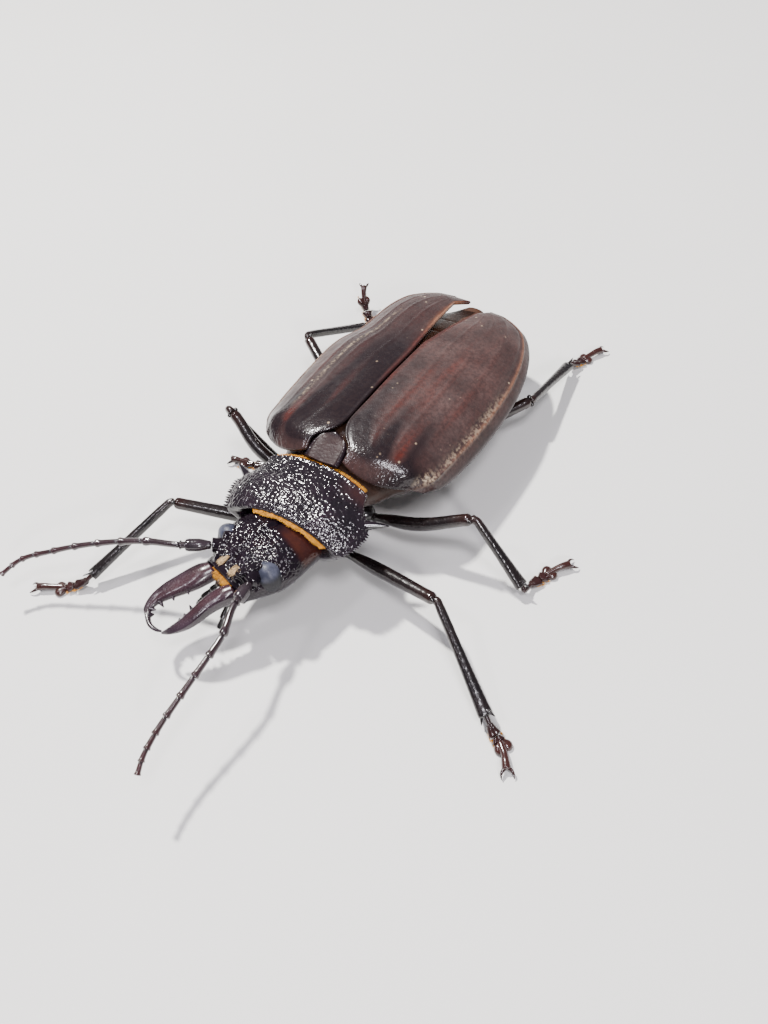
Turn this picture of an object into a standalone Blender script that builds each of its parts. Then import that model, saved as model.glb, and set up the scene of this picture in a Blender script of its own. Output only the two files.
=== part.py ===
"""Macrodontia crenata, a large sawyer beetle, standing with its head turned to its right.

Lengths are millimetres in the beetle's own frame: x to its left, y to its rear, z up, the
floor at z = 0 and x = y = 0 under the middle of the hind edge of the pronotum. The meshes are
made in metres, and an empty moves the whole so that the middle of its box is at x = y = 0.
"""
import math

import bmesh
import bpy
import numpy as np
from mathutils import Matrix, Vector

MM = 0.001
GAP = 0.3
CENTRE_OF_BOX = (3.45, 5.1)

# Head, in its own frame before it turns: y, half width, top, side and bottom heights
HEAD_TURN = math.radians(-18.0)
HEAD_PIVOT = (0.0, -13.0, 13.0)
HEAD_REAR = -14.15
HEAD_FRONT = -25.5
HEAD_STATIONS = (
    (-10.5, 7.0, 15.6, 11.5, 7.0),
    (-14.5, 7.5, 16.0, 11.5, 6.8),
    (-17.0, 7.8, 15.9, 11.4, 6.9),
    (-19.5, 7.7, 15.5, 11.3, 7.1),
    (-21.5, 7.0, 15.0, 11.2, 7.3),
    (-23.2, 6.1, 14.4, 11.0, 7.5),
    (-24.6, 5.5, 13.8, 10.9, 7.8),
    (HEAD_FRONT, 5.2, 13.2, 10.8, 8.0),
)
EYE_CENTRE = (5.7, -20.2, 12.4)
EYE_RADII = (2.7, 2.3, 3.0)
ANTENNA_ROOT = (5.4, -23.6, 13.9)
SOCKET_RADIUS = 1.2
SOCKET_LENGTH = 3.0

# Mandibles: centre lines from the root in the head's frame, with half width and half height
MANDIBLE_ROOT = (3.05, HEAD_FRONT - GAP, 11.3)
MANDIBLE_LINES = {
    "left": (
        (0.0, 0.0, 0.0, 1.6, 1.6), (-0.5, -1.4, -0.1, 1.65, 1.6), (-1.0, -3.0, -0.4, 1.55, 1.45),
        (-1.3, -4.9, -0.8, 1.45, 1.25), (-1.5, -6.7, -1.4, 1.35, 1.1), (-2.0, -8.4, -2.1, 1.2, 0.95),
        (-2.8, -9.9, -2.8, 0.9, 0.75), (-3.7, -11.1, -3.5, 0.55, 0.5), (-4.5, -11.9, -4.0, 0.22, 0.2),
    ),
    "right": (
        (0.0, 0.0, 0.0, 1.75, 1.6), (0.4, -1.4, -0.1, 1.9, 1.65), (0.95, -3.2, -0.35, 2.0, 1.5),
        (1.7, -5.1, -0.75, 1.85, 1.25), (2.5, -7.2, -1.2, 1.55, 1.05), (3.0, -9.3, -1.7, 1.1, 0.8),
        (2.7, -11.1, -2.1, 0.68, 0.6), (1.6, -12.1, -2.3, 0.48, 0.45), (0.0, -12.7, -2.4, 0.4, 0.4),
        (-1.4, -12.5, -2.5, 0.32, 0.3), (-2.3, -12.0, -2.6, 0.18, 0.16),
    ),
}
TOOTH_PLACES = (0.26, 0.38, 0.5, 0.61, 0.7)
TOOTH_SIZES = (0.6, 0.75, 1.2, 0.7, 0.6)
JAW_TOOTH_RADIUS = 0.55
JAW_TOOTH_SEAT = 0.4

# Mouthparts: the labrum's width, length and height, its outline, and the palps' line
LABRUM_SIZE = (1.3, 1.3, 1.4)
LABRUM_OUTLINE = ((0.0, 1.0), (0.6, 1.0), (0.9, 0.85), (1.0, 0.6))
LABRUM_HEIGHT = 11.6
LABRUM_DIP = 0.3
PALP_LINE = ((1.9, -25.8, 8.9), (2.3, -27.4, 8.2), (2.9, -29.0, 7.0), (3.2, -30.2, 5.6))
PALP_RADIUS = 0.42

# Antennae: hand-set centre lines, and the lengths of the eleven joints as shares of the whole
ANTENNA_LINES = {
    "left": (
        (2.5, -29.6, 14.3), (3.9, -34.1, 13.9), (4.1, -39.4, 13.3), (4.0, -44.5, 12.5),
        (4.1, -51.0, 11.5), (4.6, -54.4, 11.0), (5.4, -56.8, 10.4),
    ),
    "right": (
        (-12.8, -24.2, 14.5), (-18.4, -25.7, 13.8), (-26.4, -28.9, 12.4),
        (-34.9, -33.6, 10.4), (-40.5, -37.4, 8.5), (-42.2, -40.4, 7.2),
    ),
}
JOINT_SHARES = (0.105, 0.02, 0.18, 0.115, 0.11, 0.11, 0.10, 0.085, 0.07, 0.055, 0.06)
ANTENNA_PARTS = (("scape", 0, 1), ("middle", 1, 6), ("tip", 6, 11))
JOINT_OUTLINE = ((0.0, 0.78), (0.25, 0.88), (0.8, 1.12), (1.0, 1.02))
JOINT_STEP = 0.12
SCAPE_RADIUS = 0.95
FEELER_RADIUS = 0.7
FEELER_TIP_RADIUS = 0.45

# Pronotum: y, half width, top, side and bottom heights; both edges bow forward at their ends
PRONOTUM_STATIONS = (
    (-13.1, 10.9, 16.9, 13.7, 8.6),
    (-12.6, 11.6, 17.4, 13.7, 6.9),
    (-11.7, 12.2, 17.9, 13.8, 5.9),
    (-10.2, 12.8, 18.3, 13.9, 5.4),
    (-8.4, 13.0, 18.5, 14.0, 5.4),
    (-7.0, 12.8, 18.5, 14.1, 5.4),
    (-5.9, 12.0, 18.45, 14.4, 5.5),
    (-4.7, 10.9, 18.35, 15.0, 5.9),
    (-3.2, 10.2, 18.1, 15.5, 6.6),
    (-1.2, 9.7, 17.8, 15.9, 7.6),
)
FRONT_BOWS = (-0.9, -0.6, -0.3)
HIND_BOW = -1.0
LATERAL_SPINE = ((11.2, -7.2, 14.1), (15.5, -4.9, 14.0))
SPINE_RADIUS = 0.95
EDGE_TEETH = 9
TEETH_FROM = -13.3
TEETH_TO = -7.9
TOOTH_LENGTH = 0.75
TOOTH_RADIUS = 0.42

# Scutellum, a tongue between the wing cases: y, half width and top height
SCUTELLUM_STATIONS = (
    (-0.85, 3.3, 18.4), (1.0, 3.35, 19.2), (2.4, 3.1, 19.8), (3.6, 2.3, 20.2), (4.4, 0.9, 20.3),
)
SCUTELLUM_UNDERSIDE = 17.45
SCUTELLUM_EDGE_RISE = 0.2

# Elytra: outer and inner edges in plan, then heights of both edges from base to apex
ELYTRON_OUTER = (
    (16.4, 4.4), (18.5, 7.6), (19.3, 11.5), (19.9, 17.0), (20.2, 23.0), (20.2, 29.0),
    (19.7, 35.0), (18.4, 41.0), (16.2, 46.6), (13.2, 50.6), (8.6, 53.0), (4.0, 53.8),
)
ELYTRON_OUTER_HEIGHT = (12.9, 12.2, 11.8, 11.5, 11.3, 11.3, 11.2, 11.2, 11.2, 11.4, 11.8, 12.1)
ELYTRON_INNER = (
    (3.75, 0.2), (3.5, 2.6), (1.4, 4.9), (0.2, 8.0), (0.2, 14.0), (0.2, 21.0),
    (0.2, 28.0), (0.2, 34.5), (0.2, 40.5), (0.2, 46.0), (0.2, 50.0), (0.2, 52.8),
)
ELYTRON_INNER_HEIGHT = (18.8, 19.9, 20.3, 20.3, 20.0, 19.6, 18.9, 18.0, 16.8, 15.2, 13.9, 12.8)
ELYTRON_GAPE = {"left": (34.0, 2.5, 0.8), "right": (29.0, 2.3, 1.3)}
ELYTRON_HOOK = {"left": (0.0, -1.3, 0.0), "right": (-2.0, 1.2, -0.8)}
HOOK_SHARE = 0.1
ELYTRON_BASE_BOW = 2.3
ELYTRON_BASE_DROP = 1.9
BASE_ROWS = 4
ELYTRON_LIFT = {"left": 0.0, "right": 1.5}
ELYTRON_PINCH = {"left": 0.0, "right": 1.9}
PINCH_AT = 38.0
PINCH_REACH = (4.0, 9.0)
LIFT_FROM = (34.0, 50.0)
ELYTRON_ROWS = 20
ELYTRON_COLUMNS = 9
ELYTRON_THICKNESS = 1.0

# Hind body under the wing cases: y, half width, top, side and bottom heights
HIND_BODY_POWERS = (1.0, 1.4)
MESOTHORAX_STATIONS = (
    (-0.9, 8.7, 16.9, 13.2, 7.4),
    (1.2, 10.0, 17.1, 12.0, 6.2),
    (4.6, 12.0, 17.15, 11.2, 5.6),
    (6.2, 13.4, 18.6, 10.8, 5.5),
    (8.2, 14.6, 18.95, 10.7, 5.4),
)
METATHORAX_STATIONS = (
    (8.5, 14.7, 18.95, 10.7, 5.4),
    (12.0, 15.3, 18.85, 10.6, 5.2),
    (17.0, 15.6, 18.55, 10.6, 5.1),
    (22.5, 15.7, 18.15, 10.6, 5.4),
)
ABDOMEN_LINE = (
    (22.8, 15.6, 18.15, 10.6, 5.5),
    (29.0, 15.5, 17.3, 10.5, 5.7),
    (35.0, 14.8, 16.3, 10.4, 6.2),
    (41.0, 13.4, 15.0, 10.3, 6.9),
    (46.5, 11.0, 13.2, 10.1, 7.7),
    (50.0, 7.8, 11.9, 9.9, 8.5),
    (52.4, 4.8, 11.3, 10.0, 8.9),
    (55.0, 2.0, 11.2, 10.4, 9.7),
)
STERNITES = 5
STERNITE_STEP = 0.35

# Legs: hip, knee corner and ankle; then the foot's pads, lobes and claw tip on or over the floor
LEGS = {
    "front_left": ((7.2, -7.2, 4.9), (27.5, -11.0, 8.8), (41.8, -22.2, 2.5),
                   (45.6, -24.4, 0.45), (48.5, -28.6, 0.7)),
    "front_right": ((-7.2, -7.4, 4.9), (-24.0, -15.2, 10.0), (-31.6, -31.2, 2.5),
                    (-36.2, -35.2, 0.45), (-41.3, -37.8, 0.7)),
    "middle_left": ((7.4, 1.6, 4.9), (26.6, 4.0, 12.2), (36.1, 1.9, 2.4),
                    (38.5, 7.7, 0.45), (41.8, 11.8, 0.7)),
    "middle_right": ((-7.4, 2.2, 4.9), (-28.6, 5.8, 16.1), (-18.2, 6.8, 2.5),
                     (-24.9, 4.7, 0.45), (-28.4, 3.9, 0.7)),
    "hind_left": ((8.0, 20.0, 4.9), (20.9, 38.3, 8.0), (20.8, 56.2, 2.5),
                  (22.3, 61.8, 0.45), (25.0, 66.6, 0.7)),
    "hind_right": ((-8.0, 20.0, 4.9), (-27.4, 32.8, 11.0), (-25.0, 50.2, 1.7),
                   (-28.9, 56.0, 3.2), (-30.3, 58.9, 6.2)),
}
FEMUR_BOW = {"middle_left": (0.0, -0.8, -0.7), "middle_right": (-1.4, -1.05, 0.0)}
FOOT_NECK = {"hind_right": 2.6, "middle_right": 1.9}
USUAL_NECK = 1.3
FOOT_CORNER = {"middle_left": (36.95, 3.9, 1.05)}
NECK_RADIUS = 0.42
NECK_BEND = 0.6
NECK_DEPTH = 0.13
COXA_CENTRE_X = 4.7
COXA_RADII = (2.9, 2.1, 1.9)
COXA_HEIGHT = 5.2
FEMUR_WIDTH = 2.35
FEMUR_HEIGHT = 2.35
FEMUR_PROFILE = (0.55, 0.72, 0.92, 1.0, 1.0, 0.97, 0.92, 0.88, 0.82)
TIBIA_WIDTH = 1.55
TIBIA_END_WIDTH = 2.45
TIBIA_HEIGHT = 1.6
KNEE_RADIUS = 1.1
KNEE_SHARE = 0.92
SPUR_LENGTH = 1.7
SPUR_RADIUS = 0.4
SPUR_SPREAD = (0.5, 0.35)
PAD_WIDTH = 2.4
PAD_HEIGHT = 1.4
PAD_OUTLINE = (
    (-0.1, 0.4), (0.04, 0.62), (0.28, 0.8), (0.44, 1.0),
    (0.5, 0.55), (0.71, 1.0), (0.77, 0.5), (1.0, 0.85),
)
LOBE_RADII = (0.4, 0.8, 0.92, 0.5)
LOBE_SPREAD = 1.05
CLAW_JOINT_RADIUS = 0.5
CLAW_JOINT_OUTLINE = (0.9, 0.95, 1.1, 1.35)
CLAW_JOINT_ARCH = (0.25, 0.55, 0.6, 0.3)
CLAW_RADIUS = 0.36
CLAW_SPREAD = 0.9
CLAW_HOOK = (0.35, 0.25)


def clear_scene():
    for old in list(bpy.data.objects):
        bpy.data.objects.remove(old, do_unlink=True)


def make_collection(name, hidden=False):
    collection = bpy.data.collections.new(name)
    collection.hide_render = hidden
    bpy.context.scene.collection.children.link(collection)
    return collection


def make_material(name, colour, roughness):
    material = bpy.data.materials.new(name)
    material.use_nodes = True
    shader = material.node_tree.nodes["Principled BSDF"]
    shader.inputs["Base Color"].default_value = (*colour, 1.0)
    shader.inputs["Roughness"].default_value = roughness
    shader.inputs["Metallic"].default_value = 0.0
    return material


def mesh_object(name, points, faces, material, collection):
    """A closed mesh object from points in millimetres, with its faces turned outwards."""
    mesh = bpy.data.meshes.new(name)
    mesh.from_pydata((np.asarray(points) * MM).tolist(), [], faces)
    shape = bmesh.new()
    shape.from_mesh(mesh)
    bmesh.ops.recalc_face_normals(shape, faces=shape.faces)
    if shape.calc_volume(signed=True) < 0:
        bmesh.ops.reverse_faces(shape, faces=shape.faces)
    shape.to_mesh(mesh)
    shape.free()
    mesh.materials.append(material)
    made = bpy.data.objects.new(name, mesh)
    collection.objects.link(made)
    return made


def loft(name, rings, material, collection):
    """A closed tube through rings of equally many points, each end closed by a fan of faces."""
    rings = np.asarray(rings, float)
    count, sides, _ = rings.shape
    points = np.vstack([rings.reshape(-1, 3), rings[0].mean(0), rings[-1].mean(0)])
    faces = []
    for ring in range(count - 1):
        for side in range(sides):
            after = (side + 1) % sides
            low = ring * sides
            high = low + sides
            faces.append((low + side, low + after, high + after, high + side))
    first, last = count * sides, count * sides + 1
    for side in range(sides):
        after = (side + 1) % sides
        faces.append((first, after, side))
        faces.append((last, last - 1 - sides + side, last - 1 - sides + after))
    return mesh_object(name, points, faces, material, collection)


def spline(knots, values, at):
    """Catmull-Rom curve through values at rising knots, for one number or rows of numbers."""
    knots = np.asarray(knots, float)
    values = np.asarray(values, float)
    slopes = np.gradient(values, knots, axis=0)
    at = np.clip(np.atleast_1d(np.asarray(at, float)), knots[0], knots[-1])
    left = np.clip(np.searchsorted(knots, at, side="right") - 1, 0, len(knots) - 2)
    step = knots[left + 1] - knots[left]
    share = (at - knots[left]) / step
    if values.ndim > 1:
        share, step = share[:, None], step[:, None]
    square, cube = share**2, share**3
    return (
        (2 * cube - 3 * square + 1) * values[left]
        + (cube - 2 * square + share) * step * slopes[left]
        + (3 * square - 2 * cube) * values[left + 1]
        + (cube - square) * step * slopes[left + 1]
    )


def body_section(station, sides, top_power, bottom_power, bow=0.0):
    """One closed section of the body across y: a dome above the side edge, a keel below it."""
    y, half_width, top, side, bottom = station
    angle = np.arange(sides) * 2 * math.pi / sides
    across = np.cos(angle)
    lift = np.sin(angle)
    upper = side + (top - side) * np.abs(lift) ** top_power
    lower = side - (side - bottom) * np.abs(lift) ** bottom_power
    height = np.where(lift >= 0, upper, lower)
    return np.column_stack([half_width * across, y + bow * across**2, height])


def body_loft(name, stations, sides, powers, material, collection, bows=None):
    bows = bows or [0.0] * len(stations)
    rings = [body_section(s, sides, *powers, bow) for s, bow in zip(stations, bows)]
    return loft(name, rings, material, collection)


def unit(vector):
    vector = np.asarray(vector, float)
    return vector / np.linalg.norm(vector)


def tube_rings(line, half_widths, half_heights, sides, first=None, last=None):
    """Oval rings square to a line of points, their width level and their height upright.

    The first and last rings are square to the given directions, where these are given. Where
    the line turns past the vertical the rings keep their sense, so the tube isn't twisted.
    """
    line = np.asarray(line, float)
    along = np.gradient(line, axis=0)
    if first is not None:
        along[0] = first
    if last is not None:
        along[-1] = last
    along /= np.linalg.norm(along, axis=1)[:, None]
    level = np.cross(along, (0.0, 0.0, 1.0))
    level /= np.linalg.norm(level, axis=1)[:, None]
    same_way = np.where(np.sum(level[1:] * level[:-1], axis=1) < 0, -1.0, 1.0)
    level[1:] *= np.cumprod(same_way)[:, None]
    upright = np.cross(level, along)
    angle = np.arange(sides) * 2 * math.pi / sides
    wide = np.asarray(half_widths, float)[:, None, None] * np.cos(angle)[None, :, None]
    tall = np.asarray(half_heights, float)[:, None, None] * np.sin(angle)[None, :, None]
    return line[:, None] + level[:, None] * wide + upright[:, None] * tall


def spike(name, root, tip, radius, sides, material, collection, bend=(0.0, 0.0, 0.0)):
    """A tapering spine, claw or tooth, bent at its middle by the given offset."""
    root, tip = np.asarray(root, float), np.asarray(tip, float)
    middle = (root + tip) / 2 + np.asarray(bend, float)
    radii = np.array([1.0, 0.66, 0.16]) * radius
    rings = tube_rings([root, middle, tip], radii, radii, sides)
    return loft(name, rings, material, collection)


def ellipsoid(name, centre, radii, material, collection, segments=12, rings=8):
    made = bmesh.new()
    bmesh.ops.create_uvsphere(made, u_segments=segments, v_segments=rings, radius=1.0)
    bmesh.ops.transform(
        made,
        matrix=Matrix.Translation(Vector(centre) * MM) @ Matrix.Diagonal((*(r * MM for r in radii), 1.0)),
        verts=made.verts,
    )
    mesh = bpy.data.meshes.new(name)
    made.to_mesh(mesh)
    made.free()
    mesh.materials.append(material)
    result = bpy.data.objects.new(name, mesh)
    collection.objects.link(result)
    return result


def keep_largest(shape):
    """Leaves only the piece with the most points, without the slivers that a cut can leave."""
    left = set(shape.verts)
    groups = []
    while left:
        group = set()
        ahead = [left.pop()]
        while ahead:
            vertex = ahead.pop()
            group.add(vertex)
            linked = {edge.other_vert(vertex) for edge in vertex.link_edges} & left
            left -= linked
            ahead.extend(linked)
        groups.append(group)
    groups.sort(key=len)
    for group in groups[:-1]:
        bmesh.ops.delete(shape, geom=list(group), context="VERTS")


def bake(target):
    """Makes the object's modifiers part of its mesh."""
    bpy.context.view_layer.update()
    graph = bpy.context.evaluated_depsgraph_get()
    mesh = bpy.data.meshes.new_from_object(target.evaluated_get(graph))
    target.modifiers.clear()
    target.data = mesh
    shape = bmesh.new()
    shape.from_mesh(mesh)
    keep_largest(shape)
    shape.to_mesh(mesh)
    shape.free()


def boolean(target, pieces, operation):
    """Joins the pieces to the target, or cuts them from it, and removes them."""
    helpers = make_collection("helpers", hidden=True)
    for piece in pieces:
        for owner in list(piece.users_collection):
            owner.objects.unlink(piece)
        helpers.objects.link(piece)
        piece.display_type = "WIRE"
    modifier = target.modifiers.new(operation.lower(), "BOOLEAN")
    modifier.operation = operation
    modifier.operand_type = "COLLECTION"
    modifier.collection = helpers
    bake(target)
    for piece in pieces:
        bpy.data.objects.remove(piece, do_unlink=True)
    bpy.data.collections.remove(helpers)


def slice_off(target, point, normal):
    """Cuts away what lies beyond a plane and closes the cut with a flat face."""
    shape = bmesh.new()
    shape.from_mesh(target.data)
    everything = shape.verts[:] + shape.edges[:] + shape.faces[:]
    cut = bmesh.ops.bisect_plane(
        shape, geom=everything, dist=1e-7, plane_co=Vector(point) * MM,
        plane_no=Vector(normal), clear_outer=True,
    )
    edges = [piece for piece in cut["geom_cut"] if isinstance(piece, bmesh.types.BMEdge)]
    bmesh.ops.holes_fill(shape, edges=edges, sides=0)
    keep_largest(shape)
    bmesh.ops.recalc_face_normals(shape, faces=shape.faces)
    shape.to_mesh(target.data)
    shape.free()


def turned(points):
    """Points of the head's own frame, turned with the head about the neck."""
    turn = np.array([
        [math.cos(HEAD_TURN), -math.sin(HEAD_TURN), 0.0],
        [math.sin(HEAD_TURN), math.cos(HEAD_TURN), 0.0],
        [0.0, 0.0, 1.0],
    ])
    return (np.asarray(points, float) - HEAD_PIVOT) @ turn.T + HEAD_PIVOT


def head_ahead():
    """The direction in which the turned head points."""
    return turned((0.0, -1.0, 0.0)) - turned((0.0, 0.0, 0.0))


def turn_object(target):
    """Turns an object that was made in the head's own frame."""
    pivot = Matrix.Translation(Vector(HEAD_PIVOT) * MM)
    target.data.transform(pivot @ Matrix.Rotation(HEAD_TURN, 4, "Z") @ pivot.inverted())


def mirrored(points, side):
    """Points written for the left side, carried over to the right one where that is asked."""
    return np.asarray(points, float) * (1.0 if side == "left" else -1.0, 1.0, 1.0)


def antenna_line(side):
    """The centre line's points from the socket on, and the distance of each along the line."""
    root = turned(mirrored(ANTENNA_ROOT, side))
    control = np.vstack([root, ANTENNA_LINES[side]])
    knots = np.concatenate([[0.0], np.cumsum(np.linalg.norm(np.diff(control, axis=0), axis=1))])
    return control, knots


def make_head(mats, parts, helpers):
    head = body_loft("head", HEAD_STATIONS, 24, (1.0, 1.0), mats["black"], parts)
    cutters = []
    for side in ("left", "right"):
        centre = mirrored(EYE_CENTRE, side)
        turn_object(ellipsoid("eye_" + side, centre, EYE_RADII, mats["eye"], parts))
        grown = [radius + GAP for radius in EYE_RADII]
        cutters.append(ellipsoid("socket_" + side, centre, grown, mats["black"], helpers))
        turn_object(cutters[-1])
    turn_object(head)
    sockets = []
    for side in ("left", "right"):
        control, knots = antenna_line(side)
        direction = unit(control[1] - control[0])
        inside = control[0] - SOCKET_LENGTH * direction
        line = [inside, (inside + control[0]) / 2, control[0]]
        radii = [SOCKET_RADIUS] * 3
        sockets.append(loft("antenna_base", tube_rings(line, radii, radii, 12), mats["black"], helpers))
    boolean(head, sockets, "UNION")
    boolean(head, cutters, "DIFFERENCE")
    slice_off(head, (0.0, HEAD_REAR, 0.0), (0.0, 1.0, 0.0))


def make_mandible(side, mats, parts, helpers):
    line = np.array(MANDIBLE_LINES[side], float)
    shares = np.arange(len(line))
    fine = spline(shares, line, np.linspace(0, shares[-1], 2 * len(line) - 1))
    centre = fine[:, :3] + MANDIBLE_ROOT
    rings = tube_rings(turned(mirrored(centre, side)), fine[:, 3], fine[:, 4], 10, first=head_ahead())
    mandible = loft("mandible_" + side, rings, mats["mandible"], parts)
    teeth = []
    for place, size in zip(TOOTH_PLACES, TOOTH_SIZES):
        ring = round(place * (len(fine) - 1))
        heading = unit(np.append((centre[ring + 1] - centre[ring - 1])[:2], 0.0))
        inward = np.array([heading[1], -heading[0], 0.0])
        reach = fine[ring, 3]
        root = centre[ring] + inward * reach * JAW_TOOTH_SEAT
        tip = centre[ring] + inward * (reach + size)
        ends = turned(mirrored([root, tip], side))
        teeth.append(spike("tooth", ends[0], ends[1], JAW_TOOTH_RADIUS, 5, mats["mandible"], helpers))
    boolean(mandible, teeth, "UNION")


def make_mouthparts(mats, parts):
    width, length, height = LABRUM_SIZE
    y = HEAD_FRONT - GAP
    rings = []
    for step, share in LABRUM_OUTLINE:
        angle = np.arange(12) * 2 * math.pi / 12
        rings.append(np.column_stack([
            width / 2 * share * np.cos(angle),
            np.full(12, y - length * step),
            LABRUM_HEIGHT - LABRUM_DIP * step + height / 2 * share * np.sin(angle),
        ]))
    loft("labrum", turned(np.reshape(rings, (-1, 3))).reshape(-1, 12, 3), mats["brown"], parts)
    for side in ("left", "right"):
        control = np.asarray(PALP_LINE, float)
        line = spline(np.arange(4), control, np.linspace(0, 3, 8))
        swell = 1.0 + 0.25 * np.sin(np.linspace(0, 5 * math.pi, 8)) ** 2
        radii = PALP_RADIUS * swell
        radii[-1] *= 0.6
        rings = tube_rings(turned(mirrored(line, side)), radii, radii, 8, first=head_ahead())
        loft("palp_" + side, rings, mats["brown"], parts)


def make_antenna(side, mats, parts):
    """Three lengths of one feeler: each joint is narrow at its root and swells to its end."""
    control, knots = antenna_line(side)
    whole = knots[-1]
    starts = np.concatenate([[0.0], np.cumsum(JOINT_SHARES)]) * whole
    starts *= whole / starts[-1]
    for part, first, last in ANTENNA_PARTS:
        stations, radii = [], []
        for joint in range(first, last):
            low, high = starts[joint], starts[joint + 1]
            if joint == first:
                low += GAP
            thick = SCAPE_RADIUS
            if joint:
                thick = FEELER_RADIUS + (FEELER_TIP_RADIUS - FEELER_RADIUS) * joint / 10
            stations += [low + share * (high - low) for share, _ in JOINT_OUTLINE]
            radii += [swell * thick for _, swell in JOINT_OUTLINE]
        stations = np.array(stations)
        stations[len(JOINT_OUTLINE)::len(JOINT_OUTLINE)] += JOINT_STEP
        radii[-1] *= 0.6 if part == "tip" else 1.0
        line = spline(knots, control, stations)
        sides = 10 if part == "scape" else 8
        loft(f"antenna_{side}_{part}", tube_rings(line, radii, radii, sides), mats["leg"], parts)


def make_pronotum(mats, parts, helpers):
    stations = np.array(PRONOTUM_STATIONS)
    count = len(stations)
    bows = [HIND_BOW * max(0.0, (index - 4) / (count - 5)) for index in range(count)]
    bows[:len(FRONT_BOWS)] = FRONT_BOWS
    pronotum = body_loft("pronotum", stations, 28, (1.5, 1.5), mats["black"], parts, bows)
    edges = stations[:, 0] + bows
    pieces = []
    for side in ("left", "right"):
        root, tip = mirrored(LATERAL_SPINE, side)
        pieces.append(spike("spine", root, tip, SPINE_RADIUS, 8, mats["black"], helpers))
        for y in np.linspace(TEETH_FROM, TEETH_TO, EDGE_TEETH):
            width, _, height, _ = spline(edges, stations[:, 1:], y)[0]
            root, tip = mirrored(
                [(width - 0.9, y + 0.1, height), (width + TOOTH_LENGTH - 0.2, y - 0.15, height)], side
            )
            pieces.append(spike("tooth", root, tip, TOOTH_RADIUS, 4, mats["black"], helpers))
    boolean(pronotum, pieces, "UNION")


def make_scutellum(mats, parts):
    rings = []
    for y, half_width, top in SCUTELLUM_STATIONS:
        angle = np.arange(14) * 2 * math.pi / 14
        lift = np.sin(angle)
        middle = (top + SCUTELLUM_UNDERSIDE) / 2 + SCUTELLUM_EDGE_RISE
        height = np.where(lift >= 0, middle + (top - middle) * np.abs(lift),
                          middle - (middle - SCUTELLUM_UNDERSIDE) * np.abs(lift) ** 0.5)
        rings.append(np.column_stack([half_width * np.cos(angle), np.full(14, y), height]))
    loft("scutellum", rings, mats["brown"], parts)


def make_elytron(side, mats, parts):
    """A curved sheet from the suture to the outer edge, given its thickness on the inside."""
    knots = np.arange(len(ELYTRON_OUTER))
    rows = np.linspace(0, knots[-1], ELYTRON_ROWS)
    outer = spline(knots, np.column_stack([ELYTRON_OUTER, ELYTRON_OUTER_HEIGHT]), rows)
    inner = spline(knots, np.column_stack([ELYTRON_INNER, ELYTRON_INNER_HEIGHT]), rows)
    start, width, power = ELYTRON_GAPE[side]
    share = np.clip((inner[:, 1] - start) / (ELYTRON_INNER[-1][1] - start), 0.0, 1.0)
    hook = np.clip((share - 1 + HOOK_SHARE) / HOOK_SHARE, 0.0, 1.0)
    inner[:, 0] += width * share**power
    inner += hook[:, None] * ELYTRON_HOOK[side]
    inner[:, 2] += ELYTRON_LIFT[side] * share
    behind = outer[:, 1] - PINCH_AT
    reach = np.where(behind < 0, *PINCH_REACH)
    outer[:, 0] -= ELYTRON_PINCH[side] * np.exp(-((behind / reach) ** 2))
    outer[:, 2] += ELYTRON_LIFT[side] * np.clip((outer[:, 1] - LIFT_FROM[0]) / np.ptp(LIFT_FROM), 0.0, 1.0)
    across = np.linspace(0, 1, ELYTRON_COLUMNS) ** 0.85
    plan = inner[:, None, :2] * (1 - across[None, :, None]) + outer[:, None, :2] * across[None, :, None]
    fade = np.clip(1 - np.arange(ELYTRON_ROWS) / BASE_ROWS, 0.0, 1.0)
    swell = np.clip(np.sin(math.pi * across), 0.0, 1.0) ** 0.8
    plan[:, :, 1] -= ELYTRON_BASE_BOW * fade[:, None] * swell[None]
    dome = (1 - across**2.5) ** 0.7
    height = outer[:, None, 2] + (inner[:, None, 2] - outer[:, None, 2]) * dome[None]
    height -= ELYTRON_BASE_DROP * fade[:, None] ** 3 * swell[None]
    sheet = mirrored(np.dstack([plan, height]).reshape(-1, 3), side)
    faces = []
    for row in range(ELYTRON_ROWS - 1):
        for column in range(ELYTRON_COLUMNS - 1):
            low = row * ELYTRON_COLUMNS + column
            corner = (low, low + 1, low + 1 + ELYTRON_COLUMNS, low + ELYTRON_COLUMNS)
            faces.append(corner if side == "left" else corner[::-1])
    mesh = bpy.data.meshes.new("elytron_" + side)
    mesh.from_pydata((sheet * MM).tolist(), [], faces)
    mesh.materials.append(mats["elytra"])
    elytron = bpy.data.objects.new("elytron_" + side, mesh)
    parts.objects.link(elytron)
    wall = elytron.modifiers.new("wall", "SOLIDIFY")
    wall.thickness = ELYTRON_THICKNESS * MM
    wall.offset = -1.0
    return elytron


def make_abdomen(mats, parts):
    """The hind body, each belly plate a little wider at its hind edge than the next begins."""
    line = np.array(ABDOMEN_LINE)
    edges = np.linspace(line[0, 0], line[-1, 0] - 2.0, STERNITES + 1)
    stations = []
    for index in range(STERNITES):
        low, high = edges[index], edges[index + 1]
        for y, step in ((low, STERNITE_STEP), ((low + high) / 2, 0.12), (high - 0.25, 0.0)):
            row = spline(line[:, 0], line[:, 1:], y)[0]
            stations.append((y, row[0] - step, row[1], row[2], row[3] + step))
    stations.append(tuple(line[-1]))
    return body_loft("abdomen", stations, 24, HIND_BODY_POWERS, mats["brown"], parts)


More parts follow.
